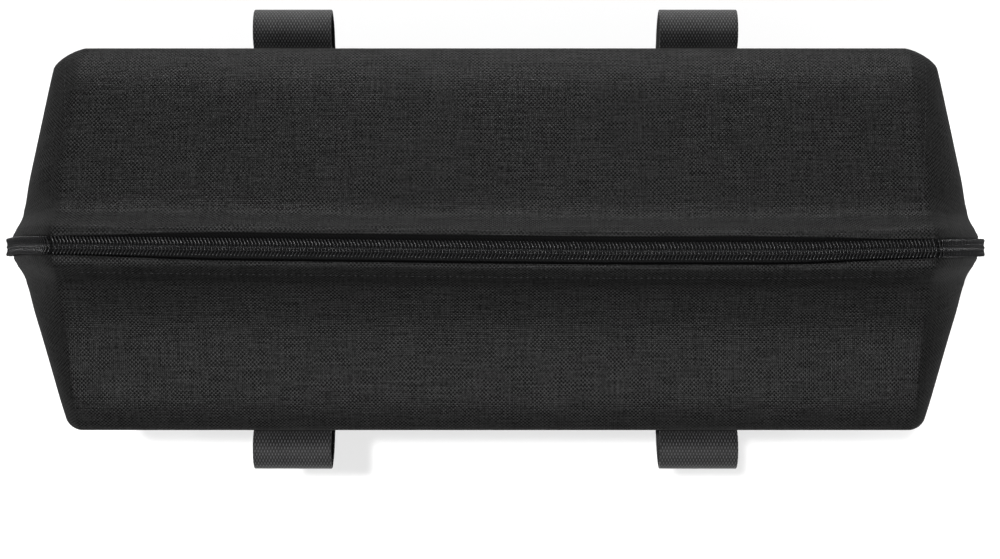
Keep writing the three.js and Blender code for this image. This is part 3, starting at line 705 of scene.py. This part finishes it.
for side, sign in SIGN.items():
    rows = sunk(top_rows(side, ROOF[side][2:], 5), sign * FOAM_DEPTH)
    rows = [row[HIP_STEPS + 3 : -HIP_STEPS - 3] for row in rows]
    board = cloth(f"{side}_top_foam_sheet", facing(rows, side == "front"), foam, FOAM)
    bend_with_flap(board)
    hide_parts(f"{side}_top_foam")

# Liner: silver foil-faced film, welded into a tub that hangs inside the foam, and a sheet of the
# same film under each half of the top. It is thin and stiff, so it is creased all over into facets
# of two sizes, and its gloss changes from place to place.
foil = new_material("foil_faced_film")
foil_place = add_node(foil, "TexCoord").outputs["Object"]
buckle = add_node(foil, "TexNoise", Vector=foil_place, Scale=22, Detail=2)
moved = {0: buckle.outputs["Color"], 1: (0.02, 0.02, 0.02), 2: foil_place}
buckled = add_node(foil, "VectorMath", moved, operation="MULTIPLY_ADD").outputs[0]
facets, fine_facets = (
    add_node(foil, "TexVoronoi", Vector=buckled, feature="F1", Scale=scale).outputs["Distance"]
    for scale in (55, 160)
)
creases = calc(foil, "MULTIPLY_ADD", fine_facets, 0.35, facets)
surface(
    foil,
    Base_Color=linear("#c4c7c9"),
    Metallic=0.85,
    Roughness=ranged(foil, buckle.outputs["Fac"], To_Min=0.24, To_Max=0.42),
    Normal=bumped(foil, creases, 0.8, 0.002),
)

LINER = 0.6
LINER_DEPTH = 6.9
LINER_FOOT = 7.2
LINER_BRIM = 240
LINER_ROWS = 44
SPOKES = 10


def liner_ring(z, depth):
    """A level line round the inside, with the film's small folds in it."""
    ring = wall_row("front", z, depth)[:-1]
    ring += side_row(z, depth, "right", 0)[:-1]
    ring += wall_row("back", z, depth)[::-1][:-1]
    ring += side_row(z, depth, "left", 0)[::-1]
    for p in ring:
        fold = 0.7 * ripple(p, 26, 31) + 0.4 * ripple(p, 11, 37)
        hold = smooth_step(0, 18, z - LINER_FOOT) * smooth_step(0, 10, LINER_BRIM + 2 - z)
        middle = Vector((-p.x / 2.4, -p.y, 0)).normalized()  # the tub is 2.4 times as long as deep
        p += middle * (fold + 0.7) * hold
    return ring


rows = [liner_ring(mix(LINER_FOOT, LINER_BRIM, i / LINER_ROWS), LINER_DEPTH) for i in range(LINER_ROWS + 1)]
spokes = [[Vector((p.x * k / SPOKES, p.y * k / SPOKES, LINER_FOOT)) for p in rows[0]] for k in range(SPOKES)]
tub = cloth("liner_bag", spokes + rows, foil, 0)
bm = bmesh.new()
bm.from_mesh(tub.data)
bmesh.ops.remove_doubles(bm, verts=bm.verts, dist=0.00002)
bm.to_mesh(tub.data)
bm.free()
thicken(tub, LINER)
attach(tub, "shell")
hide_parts("liner_tub")

UNDER_ZIP = [(11, 289.8, 0.8), (6.5, 292, 1.4)]
for side, sign in SIGN.items():
    rows = sunk(top_rows(side, ROOF[side] + UNDER_ZIP, 4, 2), sign * LINER_DEPTH)
    rows = [row[HIP_STEPS - 4 : 4 - HIP_STEPS] for row in rows]
    for row in rows:
        for p in row:
            p.z -= 0.5 + 0.5 * ripple(p, 24, 41)
    sheet = cloth(f"{side}_top_liner_sheet", facing(rows, side == "front"), foil, LINER)
    bend_with_flap(sheet)
    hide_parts(f"{side}_top_liner")

# Zip tapes: black polyester tape woven with a herringbone rib, sewn under the hems and on down the
# side walls. Each tape runs in one piece from the end of one tail to the end of the other. It is
# duller and blacker than the cloth.
TAPE = 0.8
TAPE_SPACING = 3
TAPE_REACH = [0.15, 1.2, 2.6, 4, 5.2, 7, 9]


def zip_line():
    """Closely spaced places along the top of the tape, from the foot of the left tail to the right's."""
    ends = {}
    for hand in MIRROR:
        start = Vector((BEND_START[hand], RIDGE_Y, TAPE_TOP))
        foot = Vector((side_x(WALL_TOP, RIDGE_Y) + 1.2, RIDGE_Y, WALL_TOP))
        low = Vector((side_x(TAIL_BOTTOM, RIDGE_Y) + 1.2, RIDGE_Y, TAIL_BOTTOM))
        ends[hand] = [over_the_end(start, foot, i / 60) for i in range(61)]
        ends[hand] += [foot.lerp(low, i / 60) for i in range(1, 61)]
    line = [Vector((-p.x, p.y, p.z)) for p in reversed(ends["left"])]
    line += [line[-1].lerp(ends["right"][0], i / 400) for i in range(1, 400)] + ends["right"]
    for p in line:
        p.y += through(ZIP_WANDER, p.x) * smooth_step(WALL_TOP, WALL_TOP + 30, p.z)
    return line


def strained(z):
    """How far the bent zip stands off the cloth at a height, where it turns down over the end."""
    return 1.5 * smooth_step(238, 248, z) * (1 - smooth_step(256, 280, z))


def spaced(line, pitch, margin=0.0):
    """Places along a line at an even pitch, each with the directions along, across and out."""
    lengths = [0.0]
    for a, b in zip(line, line[1:]):
        lengths.append(lengths[-1] + (b - a).length)
    places = []
    at, k = margin, 0
    while at < lengths[-1] - margin:
        while lengths[k + 1] < at:
            k += 1
        t = (at - lengths[k]) / (lengths[k + 1] - lengths[k])
        low, high = line[max(k - 2, 0)], line[min(k + 3, len(line) - 1)]
        along, across = (high - low).normalized(), Vector((0, 1, 0))
        places.append((line[k].lerp(line[k + 1], t), along, across, along.cross(across).normalized()))
        at += pitch
    return places


tape_cloth = new_material("woven_polyester_zip_tape")
tape_at = add_node(tape_cloth, "UVMap", uv_map="cloth").outputs[0]
ribs = add_node(
    tape_cloth, "TexWave", Vector=tape_at, bands_direction="DIAGONAL", Scale=420, Distortion=0.4
).outputs["Fac"]
fibre = clouds(tape_cloth, tape_at, 900, 2)
surface(
    tape_cloth,
    Base_Color=between(tape_cloth, calc(tape_cloth, "MULTIPLY", ribs, fibre), "#030303", "#131314"),
    Normal=bumped(tape_cloth, ribs, 0.4, 0.0002),
    Roughness=0.8,
    Specular_IOR_Level=0.2,
)

zip_places = zip_line()
for side, sign in SIGN.items():
    rows = []
    for reach in TAPE_REACH:
        row = []
        for place, along, across, out in spaced(zip_places, TAPE_SPACING):
            fall = 0.45 * max(0, reach - 4)
            raised = strained(place.z) * (1 - smooth_step(3.2, 5.4, reach))
            row.append(place + across * (sign * reach) + out * (raised - fall))
        rows.append(row)
    tape = cloth(f"{side}_tape", facing(rows, side == "back"), tape_cloth, TAPE)
    bend_with_flap(tape)
    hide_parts(f"{side}_zip_tape", "left_tail_tape" if side == "front" else "right_tail_tape")

# Mouth binding: the same black tape, folded over the edge of the liner all round the mouth. It hides
# the cut edges of foil and foam.
BINDING_FOLD = [(241.6, 6.5), (241.5, 7.2), (240.9, 7.9), (239.5, 8.1), (234, 8)]  # height, depth
binding = cloth("mouth_binding", [liner_ring(z, depth) for z, depth in BINDING_FOLD], tape_cloth, TAPE)
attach(binding, "shell")

# Zip coils: black nylon monofilament wound into a coil with 1.61 mm between turns and sewn to the
# tape with a thread down its middle. The two coils mesh, each in the gaps of the other. The nylon is
# smooth, so every turn carries a small bright dot.
PITCH = 1.61
WIRE = 0.29
COIL_MARGIN = 4.6
# One turn of the wire: away from the middle of the zip, up from the tape, and along the zip
TURN = [
    (2.9, 0.4, -0.80), (3.7, 0.7, -0.78), (4.0, 1.5, -0.76), (3.95, 2.3, -0.70), (3.6, 2.7, -0.55),
    (2.9, 2.55, -0.15), (2.2, 2.35, 0.25), (1.6, 2.15, 0.42), (1.0, 2.12, 0.42), (0.45, 2.35, 0.42),
    (0.05, 2.5, 0.42), (-0.3, 2.35, 0.42), (-0.6, 1.9, 0.42), (-0.55, 1.2, 0.42), (0.2, 0.7, 0.42),
]

nylon = new_material("nylon_monofilament")
nylon_place = add_node(nylon, "TexCoord").outputs["Object"]
scuffs = clouds(nylon, nylon_place, 340, 2)
surface(
    nylon,
    Base_Color=between(nylon, scuffs, "#0c0c0d", "#1c1c1d"),
    Roughness=ranged(nylon, scuffs, To_Min=0.28, To_Max=0.38),
    Specular_IOR_Level=0.7,
)


def tube(bm, points, radius, sides=6, squash=1.0):
    """A closed tube through points, swept by extruding a ring from each point to the next."""
    first = bmesh.ops.create_circle(bm, cap_ends=True, segments=sides, radius=1)["verts"]
    face = next(f for f in bm.faces if set(f.verts) == set(first))
    circle = [v.co.copy() for v in face.verts]
    loose = list(face.verts)
    ends = [points[0]] + list(points) + [points[-1]]
    for k, point in enumerate(points):
        turn = (ends[k + 2] - ends[k]).normalized().to_track_quat("Z", "Y").to_matrix()
        if k:
            made = bmesh.ops.extrude_face_region(bm, geom=[face])["geom"]
            if k > 1:  # the face inside the tube
                bmesh.ops.delete(bm, geom=[face], context="FACES_ONLY")
            face = next(f for f in made if isinstance(f, bmesh.types.BMFace))
            fresh = [v for v in made if isinstance(v, bmesh.types.BMVert)]
            order = {tuple(round(c, 5) for c in v.co): v for v in fresh}
            loose = [order[tuple(round(c, 5) for c in p)] for p in last]
        last = []
        for vert, spot in zip(loose, circle):
            vert.co = point + turn @ Vector((spot.x * radius, spot.y * radius * squash, 0))
            last.append(vert.co.copy())


def set_down(place, along, across, out):
    """The matrix that sets a small shape down at a place, its axes along, across and out."""
    return Matrix.Translation(place) @ Matrix((along, across, out)).transposed().to_4x4()


def repeated(name, template, matrices, material):
    """One mesh of many copies of a small shape."""
    bm = bmesh.new()
    for matrix in matrices:
        copy = template.copy()
        copy.transform(matrix)
        bm.from_mesh(copy)
        bpy.data.meshes.remove(copy)
    return put(name, bm, material)


coil_stations = spaced(zip_places, PITCH, COIL_MARGIN)
for side, sign in SIGN.items():
    bm = bmesh.new()
    tube(bm, [Vector((s, a, h)) for a, h, s in TURN], WIRE)
    bmesh.ops.recalc_face_normals(bm, faces=bm.faces)
    if sign < 0:
        bmesh.ops.scale(bm, vec=(1, -1, 1), verts=bm.verts)
        bmesh.ops.recalc_face_normals(bm, faces=bm.faces)
    turn_mesh = bpy.data.meshes.new("one_turn")
    bm.to_mesh(turn_mesh)
    bm.free()
    shift = 0 if side == "back" else PITCH / 2
    matrices = []
    for place, along, across, out in coil_stations:
        raised = place + along * shift + out * strained(place.z)
        matrices.append(set_down(raised, along, across, out))
    coil = repeated(f"{side}_coil", turn_mesh, matrices, nylon)
    bend_with_flap(coil)
    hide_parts(f"{side}_zip_coil", "left_tail_coil" if side == "front" else "right_tail_coil")

# Thread: black bonded polyester, in every seam. Each stitch is a short grain that dips into the
# cloth at both ends, dull and only a little lighter than what it is sewn into.
thread = new_material("bonded_polyester_thread")
thread_place = add_node(thread, "TexCoord").outputs["Object"]
ply = clouds(thread, thread_place, 500, 1)
surface(thread, Base_Color=between(thread, ply, "#070708", "#1a1a1b"), Roughness=0.6)

bm = bmesh.new()
bmesh.ops.create_uvsphere(bm, u_segments=6, v_segments=4, radius=1)
grain = bpy.data.meshes.new("one_stitch")
bm.to_mesh(grain)
bm.free()


def stitch_matrices(line, outs, pitch, length, width):
    """Places for stitches along a line, each lying along it with its out direction square to it."""
    made, travelled, due = [], 0.0, pitch / 2
    for k, (a, b) in enumerate(zip(line, line[1:])):
        step = (b - a).length
        while step > 0 and travelled + step >= due:
            t = (due - travelled) / step
            along = (b - a).normalized()
            across = outs[k].lerp(outs[k + 1], t).cross(along).normalized()
            size = Matrix.Diagonal((length / 2, width / 2, width / 2, 1))
            made.append(set_down(a.lerp(b, t), along, across, along.cross(across)) @ size)
            due += pitch
        travelled += step
    return made


def sewn(name, paths, pitch, length, width):
    """Rows of stitches that lie in the cloth, each path a list of places with their out directions."""
    matrices = []
    for path in paths:
        places = [place + out * 0.05 for place, out in path]
        matrices += stitch_matrices(places, [out for place, out in path], pitch, length, width)
    return repeated(name, grain, matrices, thread)


# The coils' own sewing: one stitch between turn and turn, over the middle of each coil.
SEWING_REACH = 1.35
SEWING_HEIGHT = 2.4
for side, sign in SIGN.items():
    line = []
    for place, along, across, out in coil_stations:
        raised = out * (SEWING_HEIGHT + strained(place.z))
        line.append(place + across * (sign * SEWING_REACH) + raised + along * PITCH / 2)
    outs = [out for place, along, across, out in coil_stations]
    sewing = repeated(f"{side}_coil_sewing", grain, stitch_matrices(line, outs, PITCH, 1.4, 0.4), thread)
    bend_with_flap(sewing)


# Seams of the top: along each hem, from shoulder to ridge near both ends, and a short row along the
# back shoulder.
def on_top(side, x, distance):
    """The place on the cloth of the top at a place along the bag and a distance from the zip."""
    rows = skin_rows[side]
    middle = len(rows[0]) // 2
    k = 0
    while k < len(rows) - 2 and abs(rows[k + 1][middle].y - RIDGE_Y) > distance:
        k += 1
    low, high = abs(rows[k][middle].y - RIDGE_Y), abs(rows[k + 1][middle].y - RIDGE_Y)
    t = (low - distance) / (low - high)
    crossed = [a.lerp(b, t) for a, b in zip(rows[k], rows[k + 1])]
    i = next(i for i in range(len(crossed) - 1) if crossed[i + 1].x >= x)
    place = crossed[i].lerp(crossed[i + 1], (x - crossed[i].x) / (crossed[i + 1].x - crossed[i].x))
    out = (crossed[i + 1] - crossed[i]).cross(rows[k + 1][i] - rows[k][i]).normalized()
    return place, out * (1 if out.z > 0 else -1)


SEAM = (2.9, 2.1, 0.5)  # pitch, length and width of a stitch
HEM_ROW = 13.2
EDGE_ROWS = {"front": (198, 192.5), "back": (203, 196.5)}
for side in SIGN:
    paths = [[on_top(side, -190 + 380 * i / 240, HEM_ROW) for i in range(241)]]
    shoulder, ridge = EDGE_ROWS[side]
    places = [(mix(shoulder, ridge, i / 60), mix(RUN[side] - 6, 22, i / 60)) for i in range(61)]
    for mirror in MIRROR.values():
        paths.append([on_top(side, mirror * x, distance) for x, distance in places])
    if side == "back":
        paths.append([on_top(side, -72 + 143 * i / 90, 86) for i in range(91)])
    seams = sewn(f"{side}_top_stitching", paths, *SEAM)
    bend_with_flap(seams)

# Seams of the box: up the edges of each wall and along under its brim, and round the base.
EDGE_COLUMN = 6
for side in SIGN:
    rows = wall_rows[side]
    last = len(rows[0]) - 1 - EDGE_COLUMN
    brim = next(j for j, row in enumerate(rows) if row[0].z > WALL_TOP - 5)
    spots = [[(i, j) for j in range(FOOT_STEPS + 2, brim + 1)] for i in (EDGE_COLUMN, last)]
    spots.append([(i, brim) for i in range(EDGE_COLUMN, last + 1)])
    paths = [[(rows[j][i], face_out(rows, i, j)) for i, j in path] for path in spots]
    seams = sewn(f"{side}_wall_stitching", paths, *SEAM)
    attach(seams, "shell")
underside = [(p, Vector((0, 0, -1))) for p in ring_at(0, FOOT_RADIUS + 2, 12)]
base_seam = sewn("base_stitching", [underside + underside[:1]], *SEAM)
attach(base_seam, "shell")

# Ends of the zip: a crimped wire stop across the coil, and below it a folded tab of the bag's cloth
# that is sewn over the raw end of the tapes. From here on some shapes are modelled on the flat of the
# fold down the side wall: x out from it, y across it and z up along it.
fold_lean = math.atan2(PROW[1] - PROW[0], SHOULDER)
on_fold = {"right": Matrix.Translation((PROW[0], RIDGE_Y, 0)) @ Matrix.Rotation(fold_lean, 4, "Y")}
on_fold["left"] = Matrix.Diagonal((-1, 1, 1, 1)) @ on_fold["right"]

# Enamel: black and semi-gloss, with a faint orange peel and worn patches that are duller and greyer.
enamel = new_material("black_enamelled_zinc")
enamel_place = add_node(enamel, "TexCoord").outputs["Object"]
peel = clouds(enamel, enamel_place, 900, 2)
wear = clouds(enamel, enamel_place, 150, 4)
surface(
    enamel,
    Base_Color=between(enamel, wear, "#101012", "#242426"),
    Roughness=ranged(enamel, wear, To_Min=0.22, To_Max=0.42),
    Normal=bumped(enamel, peel, 0.15, 0.0001),
    Coat_Weight=0.3,
)


def block(bm, low, high, width=0.3, segments=2):
    """A block with softened edges, between two corners."""
    made = bmesh.ops.create_cube(bm, size=1)["verts"]
    bmesh.ops.scale(bm, vec=[h - l for l, h in zip(low, high)], verts=made)
    bmesh.ops.translate(bm, vec=[(l + h) / 2 for l, h in zip(low, high)], verts=made)
    soften(bm, list(dict.fromkeys(e for v in made for e in v.link_edges)), width, segments)


def placed(name, bm, matrix, material):
    """Sets a shape down with a matrix and makes it an object."""
    bmesh.ops.transform(bm, matrix=matrix, verts=bm.verts)
    bmesh.ops.recalc_face_normals(bm, faces=bm.faces)
    return put(name, bm, material)


STOP_HALF = 4.4
CLAW_REACH = 3.9
TAB_HALF = 12
TAB_LOW = TAIL_BOTTOM - 21
TAB_HEIGHT = 22
TAB_ROWS = 24
TAB_COLUMNS = 30
TAB_SEAM = (2.4, 1.8, 0.45)
for hand, fold in on_fold.items():
    bm = bmesh.new()
    block(bm, (1.5, -STOP_HALF, TAIL_BOTTOM + 0.6), (4.5, STOP_HALF, TAIL_BOTTOM + 3), 0.8, 4)
    for edge in (-CLAW_REACH, CLAW_REACH):
        block(bm, (0.6, edge - 0.5, TAIL_BOTTOM + 0.9), (3, edge + 0.5, TAIL_BOTTOM + 2.7))
    stop = placed(f"{hand}_crimped_stop", bm, fold, enamel)
    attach(stop, "shell")
    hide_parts(f"{hand}_zip_stop")

    rows = []
    for j in range(TAB_ROWS + 1):
        up = TAB_LOW + j * TAB_HEIGHT / TAB_ROWS
        row = []
        for i in range(TAB_COLUMNS + 1):
            across = -TAB_HALF + i * 2 * TAB_HALF / TAB_COLUMNS
            edge = min(1, (TAB_HALF - abs(across)) / 1.2) ** 0.5 * min(1, min(j, TAB_ROWS - j) / 1.6) ** 0.5
            swell = 2.2 * max(0, 1 - (across / 7) ** 2) * smooth_step(TAIL_BOTTOM - 14, TAIL_BOTTOM, up)
            depth = 0.2 + 1.7 * edge + swell - 0.18 * abs(across)
            depth += 0.25 * ripple(Vector((across, up, 5)), 6, 51)
            row.append(fold @ Vector((depth, across, up)))
        rows.append(row)
    tab = cloth(f"{hand}_sewn_end_tab", facing(rows, hand == "right"), polyester)
    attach(tab, "shell")
    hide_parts(f"{hand}_end_tab")

    out = fold.to_3x3() @ Vector((1, 0, 0))
    box = [(i, 3) for i in range(3, 27)] + [(26, j) for j in range(4, 17)]
    box += [(i, 16) for i in range(26, 2, -1)] + [(3, j) for j in range(15, 2, -1)]
    path = [(rows[j][i].lerp(rows[j][i + 1], 0.5) + out * 0.1, out) for i, j in box]
    tab_seam = sewn(f"{hand}_tab_stitching", [path], *TAB_SEAM)
    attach(tab_seam, "shell")

# Slider: black-enamelled zinc casting, with a plate over the coils, turned-down edges and a bridge
# that holds the puller.
SLIDER_LOW = 164.5
SLIDER_LENGTH = 18
SLIDER_TOP = SLIDER_LOW + SLIDER_LENGTH
SLIDER_MIDDLE = SLIDER_LOW + SLIDER_LENGTH / 2
PLATE_LOW, PLATE_HIGH = 4.5, 5.7
WALL_REACH = 4.65
WALL_HALF = 0.7
half_outline = [(5.3, SLIDER_LOW), (5.5, SLIDER_MIDDLE - 3), (6.5, SLIDER_MIDDLE + 2)]
half_outline += [(6.5, SLIDER_TOP - 2.2), (5.6, SLIDER_TOP - 0.6), (3.6, SLIDER_TOP)]
outline = half_outline + [(1.2, SLIDER_TOP - 1.2), (-1.2, SLIDER_TOP - 1.2)]
outline += [(-y, z) for y, z in reversed(half_outline)]
bm = bmesh.new()
plate = bm.faces.new([bm.verts.new((PLATE_LOW, y, z)) for y, z in outline])
verts = extruded(bm, [plate], (PLATE_HIGH - PLATE_LOW, 0, 0)) + list(plate.verts)
soften(bm, list(dict.fromkeys(e for v in verts for e in v.link_edges)), 0.35)
for edge in (-WALL_REACH, WALL_REACH):
    block(bm, (1.7, edge - WALL_HALF, SLIDER_LOW + 0.4), (5.3, edge + WALL_HALF, SLIDER_TOP - 2), 0.35, 3)
bridge_half = [(5.4, -4.4), (7.2, -4.5), (8.6, -3.4), (9.05, -1.6)]  # out from the fold, and along it
bridge_line = bridge_half + [(out, -along) for out, along in reversed(bridge_half)]
arch = rounded([(out, SLIDER_MIDDLE + along, 0) for out, along in bridge_line], 0.8)
tube(bm, [Vector((p.x, 0, p.y)) for p in arch], 0.95, 10, 1.25)
slider = placed("slider_casting", bm, on_fold["right"], enamel)
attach(slider, "zip_slider")
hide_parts("zip_slider")

# Puller: a stamped tongue of the same metal, 33 mm long and 1.6 mm thick, with an eye at its top for
# the bridge, and softened edges.
PULLER_LOW = SLIDER_MIDDLE - 32
PULLER_HALF = 4.2
PULLER = 1.6
EYE_HALF = 2.5
HANG = 7.0
tip = []
for i in range(13):
    turn = math.pi + math.pi * i / 12
    tip.append((PULLER_HALF * math.cos(turn), PULLER_LOW + PULLER_HALF + PULLER_HALF * math.sin(turn)))
outer = [(-3.4, SLIDER_MIDDLE + 0.8), (-PULLER_HALF, SLIDER_MIDDLE)] + tip
outer += [(PULLER_HALF, SLIDER_MIDDLE), (3.4, SLIDER_MIDDLE + 0.8)]
eye_top, eye_low = SLIDER_MIDDLE - 0.9, SLIDER_MIDDLE - 6.3
eye = [(-EYE_HALF, eye_top), (-EYE_HALF, eye_low), (EYE_HALF, eye_low), (EYE_HALF, eye_top)]
bm = bmesh.new()
rings = [[bm.verts.new((HANG - PULLER / 2, y, z)) for y, z in line] for line in (outer, eye)]
edges = [bm.edges.new((ring[i - 1], ring[i])) for ring in rings for i in range(len(ring))]
bmesh.ops.triangle_fill(bm, use_beauty=True, edges=edges)
extruded(bm, bm.faces[:], (PULLER, 0, 0))
bmesh.ops.recalc_face_normals(bm, faces=bm.faces)
bmesh.ops.dissolve_limit(bm, angle_limit=0.02, verts=bm.verts, edges=bm.edges)
soften(bm, [e for e in bm.edges if len(e.link_faces) == 2 and e.calc_face_angle() > 0.6], 0.3)
bmesh.ops.triangulate(bm, faces=[f for f in bm.faces if len(f.verts) > 4])
bmesh.ops.transform(bm, matrix=on_fold["right"], verts=bm.verts)
puller = put("stamped_puller", bm, enamel)
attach(puller, "zip_puller")
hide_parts("zip_puller")

# Straps: flat polypropylene webbing, 38 mm wide. Each is sewn to its wall from the foot up to 33 mm
# below the shoulder, folds over outwards there and hangs down as one loop with its neighbour.
STRAP_X = 98.8
STRAP_WIDTH = 38
STRAP = 1.6
STRAP_GAP = 0.3
STRAP_FOOT = 3
STRAP_COLUMNS = 12
SEWN_TOP = 212
FOLD_RADIUS = 9.8
FOLD_LEAN = math.radians(20)
HANG_OUT = 94.2
HANG_Z = 150
LEG_SPREAD = 2.2
LOOP_TURN_Z = 135
LOOP_BOTTOM_Z = 42
STRAP_SEAM = (3, 2.3, 0.6)

# The webbing's warp shows as staggered rows of small floats, 0.76 by 1.43 mm, on cords that run along it.
# Its colour paints each float's lit crown as a light dot and the gaps between them as dark shade.
# Fuzz and shade break them up, so that no two are alike.
FLOAT_ACROSS = 0.76
FLOAT_ALONG = 2.86
webbing = new_material("polypropylene_webbing")
webbing_at = add_node(webbing, "UVMap", uv_map="cloth").outputs[0]
webbing_split = add_node(webbing, "SeparateXYZ", {0: webbing_at}).outputs
cord_turn = calc(webbing, "MULTIPLY_ADD", webbing_split["X"], math.pi * 1000 / FLOAT_ACROSS, 0.0)
float_turn = calc(webbing, "MULTIPLY_ADD", webbing_split["Y"], 2 * math.pi * 1000 / FLOAT_ALONG, 0.0)
floats = calc(webbing, "MULTIPLY", calc(webbing, "SINE", cord_turn), calc(webbing, "SINE", float_turn))
cords = calc(webbing, "ABSOLUTE", calc(webbing, "COSINE", cord_turn))
fuzz = clouds(webbing, webbing_at, 700, 2)
shade = clouds(webbing, webbing_at, 60, 2)
# The float mask is a painted highlight: lit crowns are painted light and the gaps between them are painted
# dark.
lit = ranged(webbing, floats, From_Min=0.0, From_Max=0.9)
fuzzy = calc(webbing, "MULTIPLY", lit, calc(webbing, "MULTIPLY_ADD", fuzz, 1.2, 0.35))
shaded = calc(webbing, "ADD", fuzzy, calc(webbing, "MULTIPLY_ADD", shade, 0.35, -0.17))
relief = calc(webbing, "ADD", lit, calc(webbing, "MULTIPLY_ADD", cords, 0.35, 0.0))
surface(
    webbing,
    Base_Color=between(webbing, shaded, "#060607", "#434344"),
    Normal=bumped(webbing, relief, 0.7, 0.0003),
    Roughness=0.62,
    Sheen_Weight=0.15,
)


def strap_out(z, x, side):
    """How far out the middle of a strap lies that is sewn flat on the wall."""
    return mix(*HALF_DEPTH, z / SHOULDER) + wall_belly(side, x, z) + STRAP_GAP + STRAP / 2


def strap(name, stations):
    """Webbing through stations, each a place with the directions across it and out of its face."""
    rows = []
    for place, across, out in stations:
        steps = [STRAP_WIDTH * (i / STRAP_COLUMNS - 0.5) for i in range(STRAP_COLUMNS + 1)]
        rows.append([place + across * step + out * (STRAP / 2) for step in steps])
    made = cloth(name, rows, webbing, STRAP, fanned=True)
    selvedge = made.modifiers.new("selvedge", "BEVEL")
    selvedge.width = 0.0005
    selvedge.segments = 2
    selvedge.limit_method = "ANGLE"
    selvedge.angle_limit = math.radians(50)
    return made


# Each sewn leg has a row of stitches along both edges, and a box with a cross in it at the top.
for side, sign in SIGN.items():
    for hand, mirror in MIRROR.items():
        x, outward = mirror * STRAP_X, Vector((0, sign, 0))
        stations = []
        for i in range(60):
            z = mix(STRAP_FOOT, SEWN_TOP, i / 59)
            stations.append((Vector((x, sign * strap_out(z, x, side), z)), Vector((-sign, 0, 0)), outward))
        leg = strap(f"{side}_{hand}_sewn_strap", stations)
        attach(leg, "shell")
        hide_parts(f"{side}_{hand}_strap_leg")

        inset, low, high = STRAP_WIDTH / 2 - 2.5, SEWN_TOP - 36, SEWN_TOP - 4
        lines = [((edge * inset, STRAP_FOOT + 8), (edge * inset, high), 80) for edge in (-1, 1)]
        lines += [((-inset, z), (inset, z), 20) for z in (low, high)]
        lines += [((-lean * inset, low), (lean * inset, high), 20) for lean in (-1, 1)]
        paths = []
        for start, end, steps in lines:
            path = []
            for i in range(steps + 1):
                across, z = mix(start[0], end[0], i / steps), mix(start[1], end[1], i / steps)
                depth = strap_out(z, x, side) + STRAP / 2
                path.append((Vector((x + across, sign * depth, z)), outward))
            paths.append(path)
        leg_seam = sewn(f"{side}_{hand}_strap_stitching", paths, *STRAP_SEAM)
        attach(leg_seam, "shell")


# Handles: the free part of each strap, from the sewn end over the fold and down to the bottom of the
# loop, and up again on the other side.
def loop_half(side):
    """Stations of the left-hand half of a handle."""
    sign = SIGN[side]
    fold_out, fold_up = strap_out(SEWN_TOP, -STRAP_X, side) + FOLD_RADIUS, SEWN_TOP + 0.4
    stations = []

    def station(place, along, facing_to):
        across = along.cross(facing_to).normalized()
        stations.append((place, across, across.cross(along).normalized()))

    def along_fold(turn):
        return Vector((0, sign * math.sin(turn), math.cos(turn)))

    fold_end = math.pi + FOLD_LEAN
    for i in range(27):
        turn = fold_end * i / 26
        out = sign * (fold_out - FOLD_RADIUS * math.cos(turn))
        place = Vector((-STRAP_X, out, fold_up + FOLD_RADIUS * math.sin(turn)))
        station(place, along_fold(turn), Vector((1, 0, 0)).cross(along_fold(turn)))
    leg_x = STRAP_X + LEG_SPREAD
    end = Vector((-leg_x, sign * HANG_OUT, HANG_Z))
    pull = 0.36 * (place.z - end.z)
    settle = (place, place + along_fold(fold_end) * pull, end + Vector((0, 0, pull)), end)
    for i in range(1, 17):
        t = i / 16
        along = (bezier(*settle, min(t + 0.01, 1)) - bezier(*settle, t - 0.01)).normalized()
        station(bezier(*settle, t), along, Vector((1, 0, 0)).cross(along))
    for i in range(4):
        place = Vector((-leg_x, sign * HANG_OUT, mix(HANG_Z, LOOP_TURN_Z, (i + 1) / 5)))
        station(place, Vector((0, 0, -1)), Vector((0, 1, 0)))
    drop = LOOP_TURN_Z - LOOP_BOTTOM_Z
    for i in range(31):
        turn = math.pi / 2 * i / 30
        place = Vector((-leg_x * math.cos(turn), sign * HANG_OUT, LOOP_TURN_Z - drop * math.sin(turn)))
        along = Vector((leg_x * math.sin(turn), 0, -drop * math.cos(turn))).normalized()
        station(place, along, Vector((0, 1, 0)))
    return stations


for side, sign in SIGN.items():
    half = loop_half(side)
    other = [tuple(v * Vector((-1, 1, 1)) for v in station) for station in reversed(half[:-1])]
    handle = strap(f"{side}_webbing_handle", half + other)
    outward = Vector((0, sign * math.cos(FOLD_LEAN), -math.sin(FOLD_LEAN)))
    leg_top = Vector((0, sign * strap_out(SEWN_TOP, -STRAP_X, side), SEWN_TOP + 0.4))
    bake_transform(handle)
    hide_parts(f"{side}_handle")
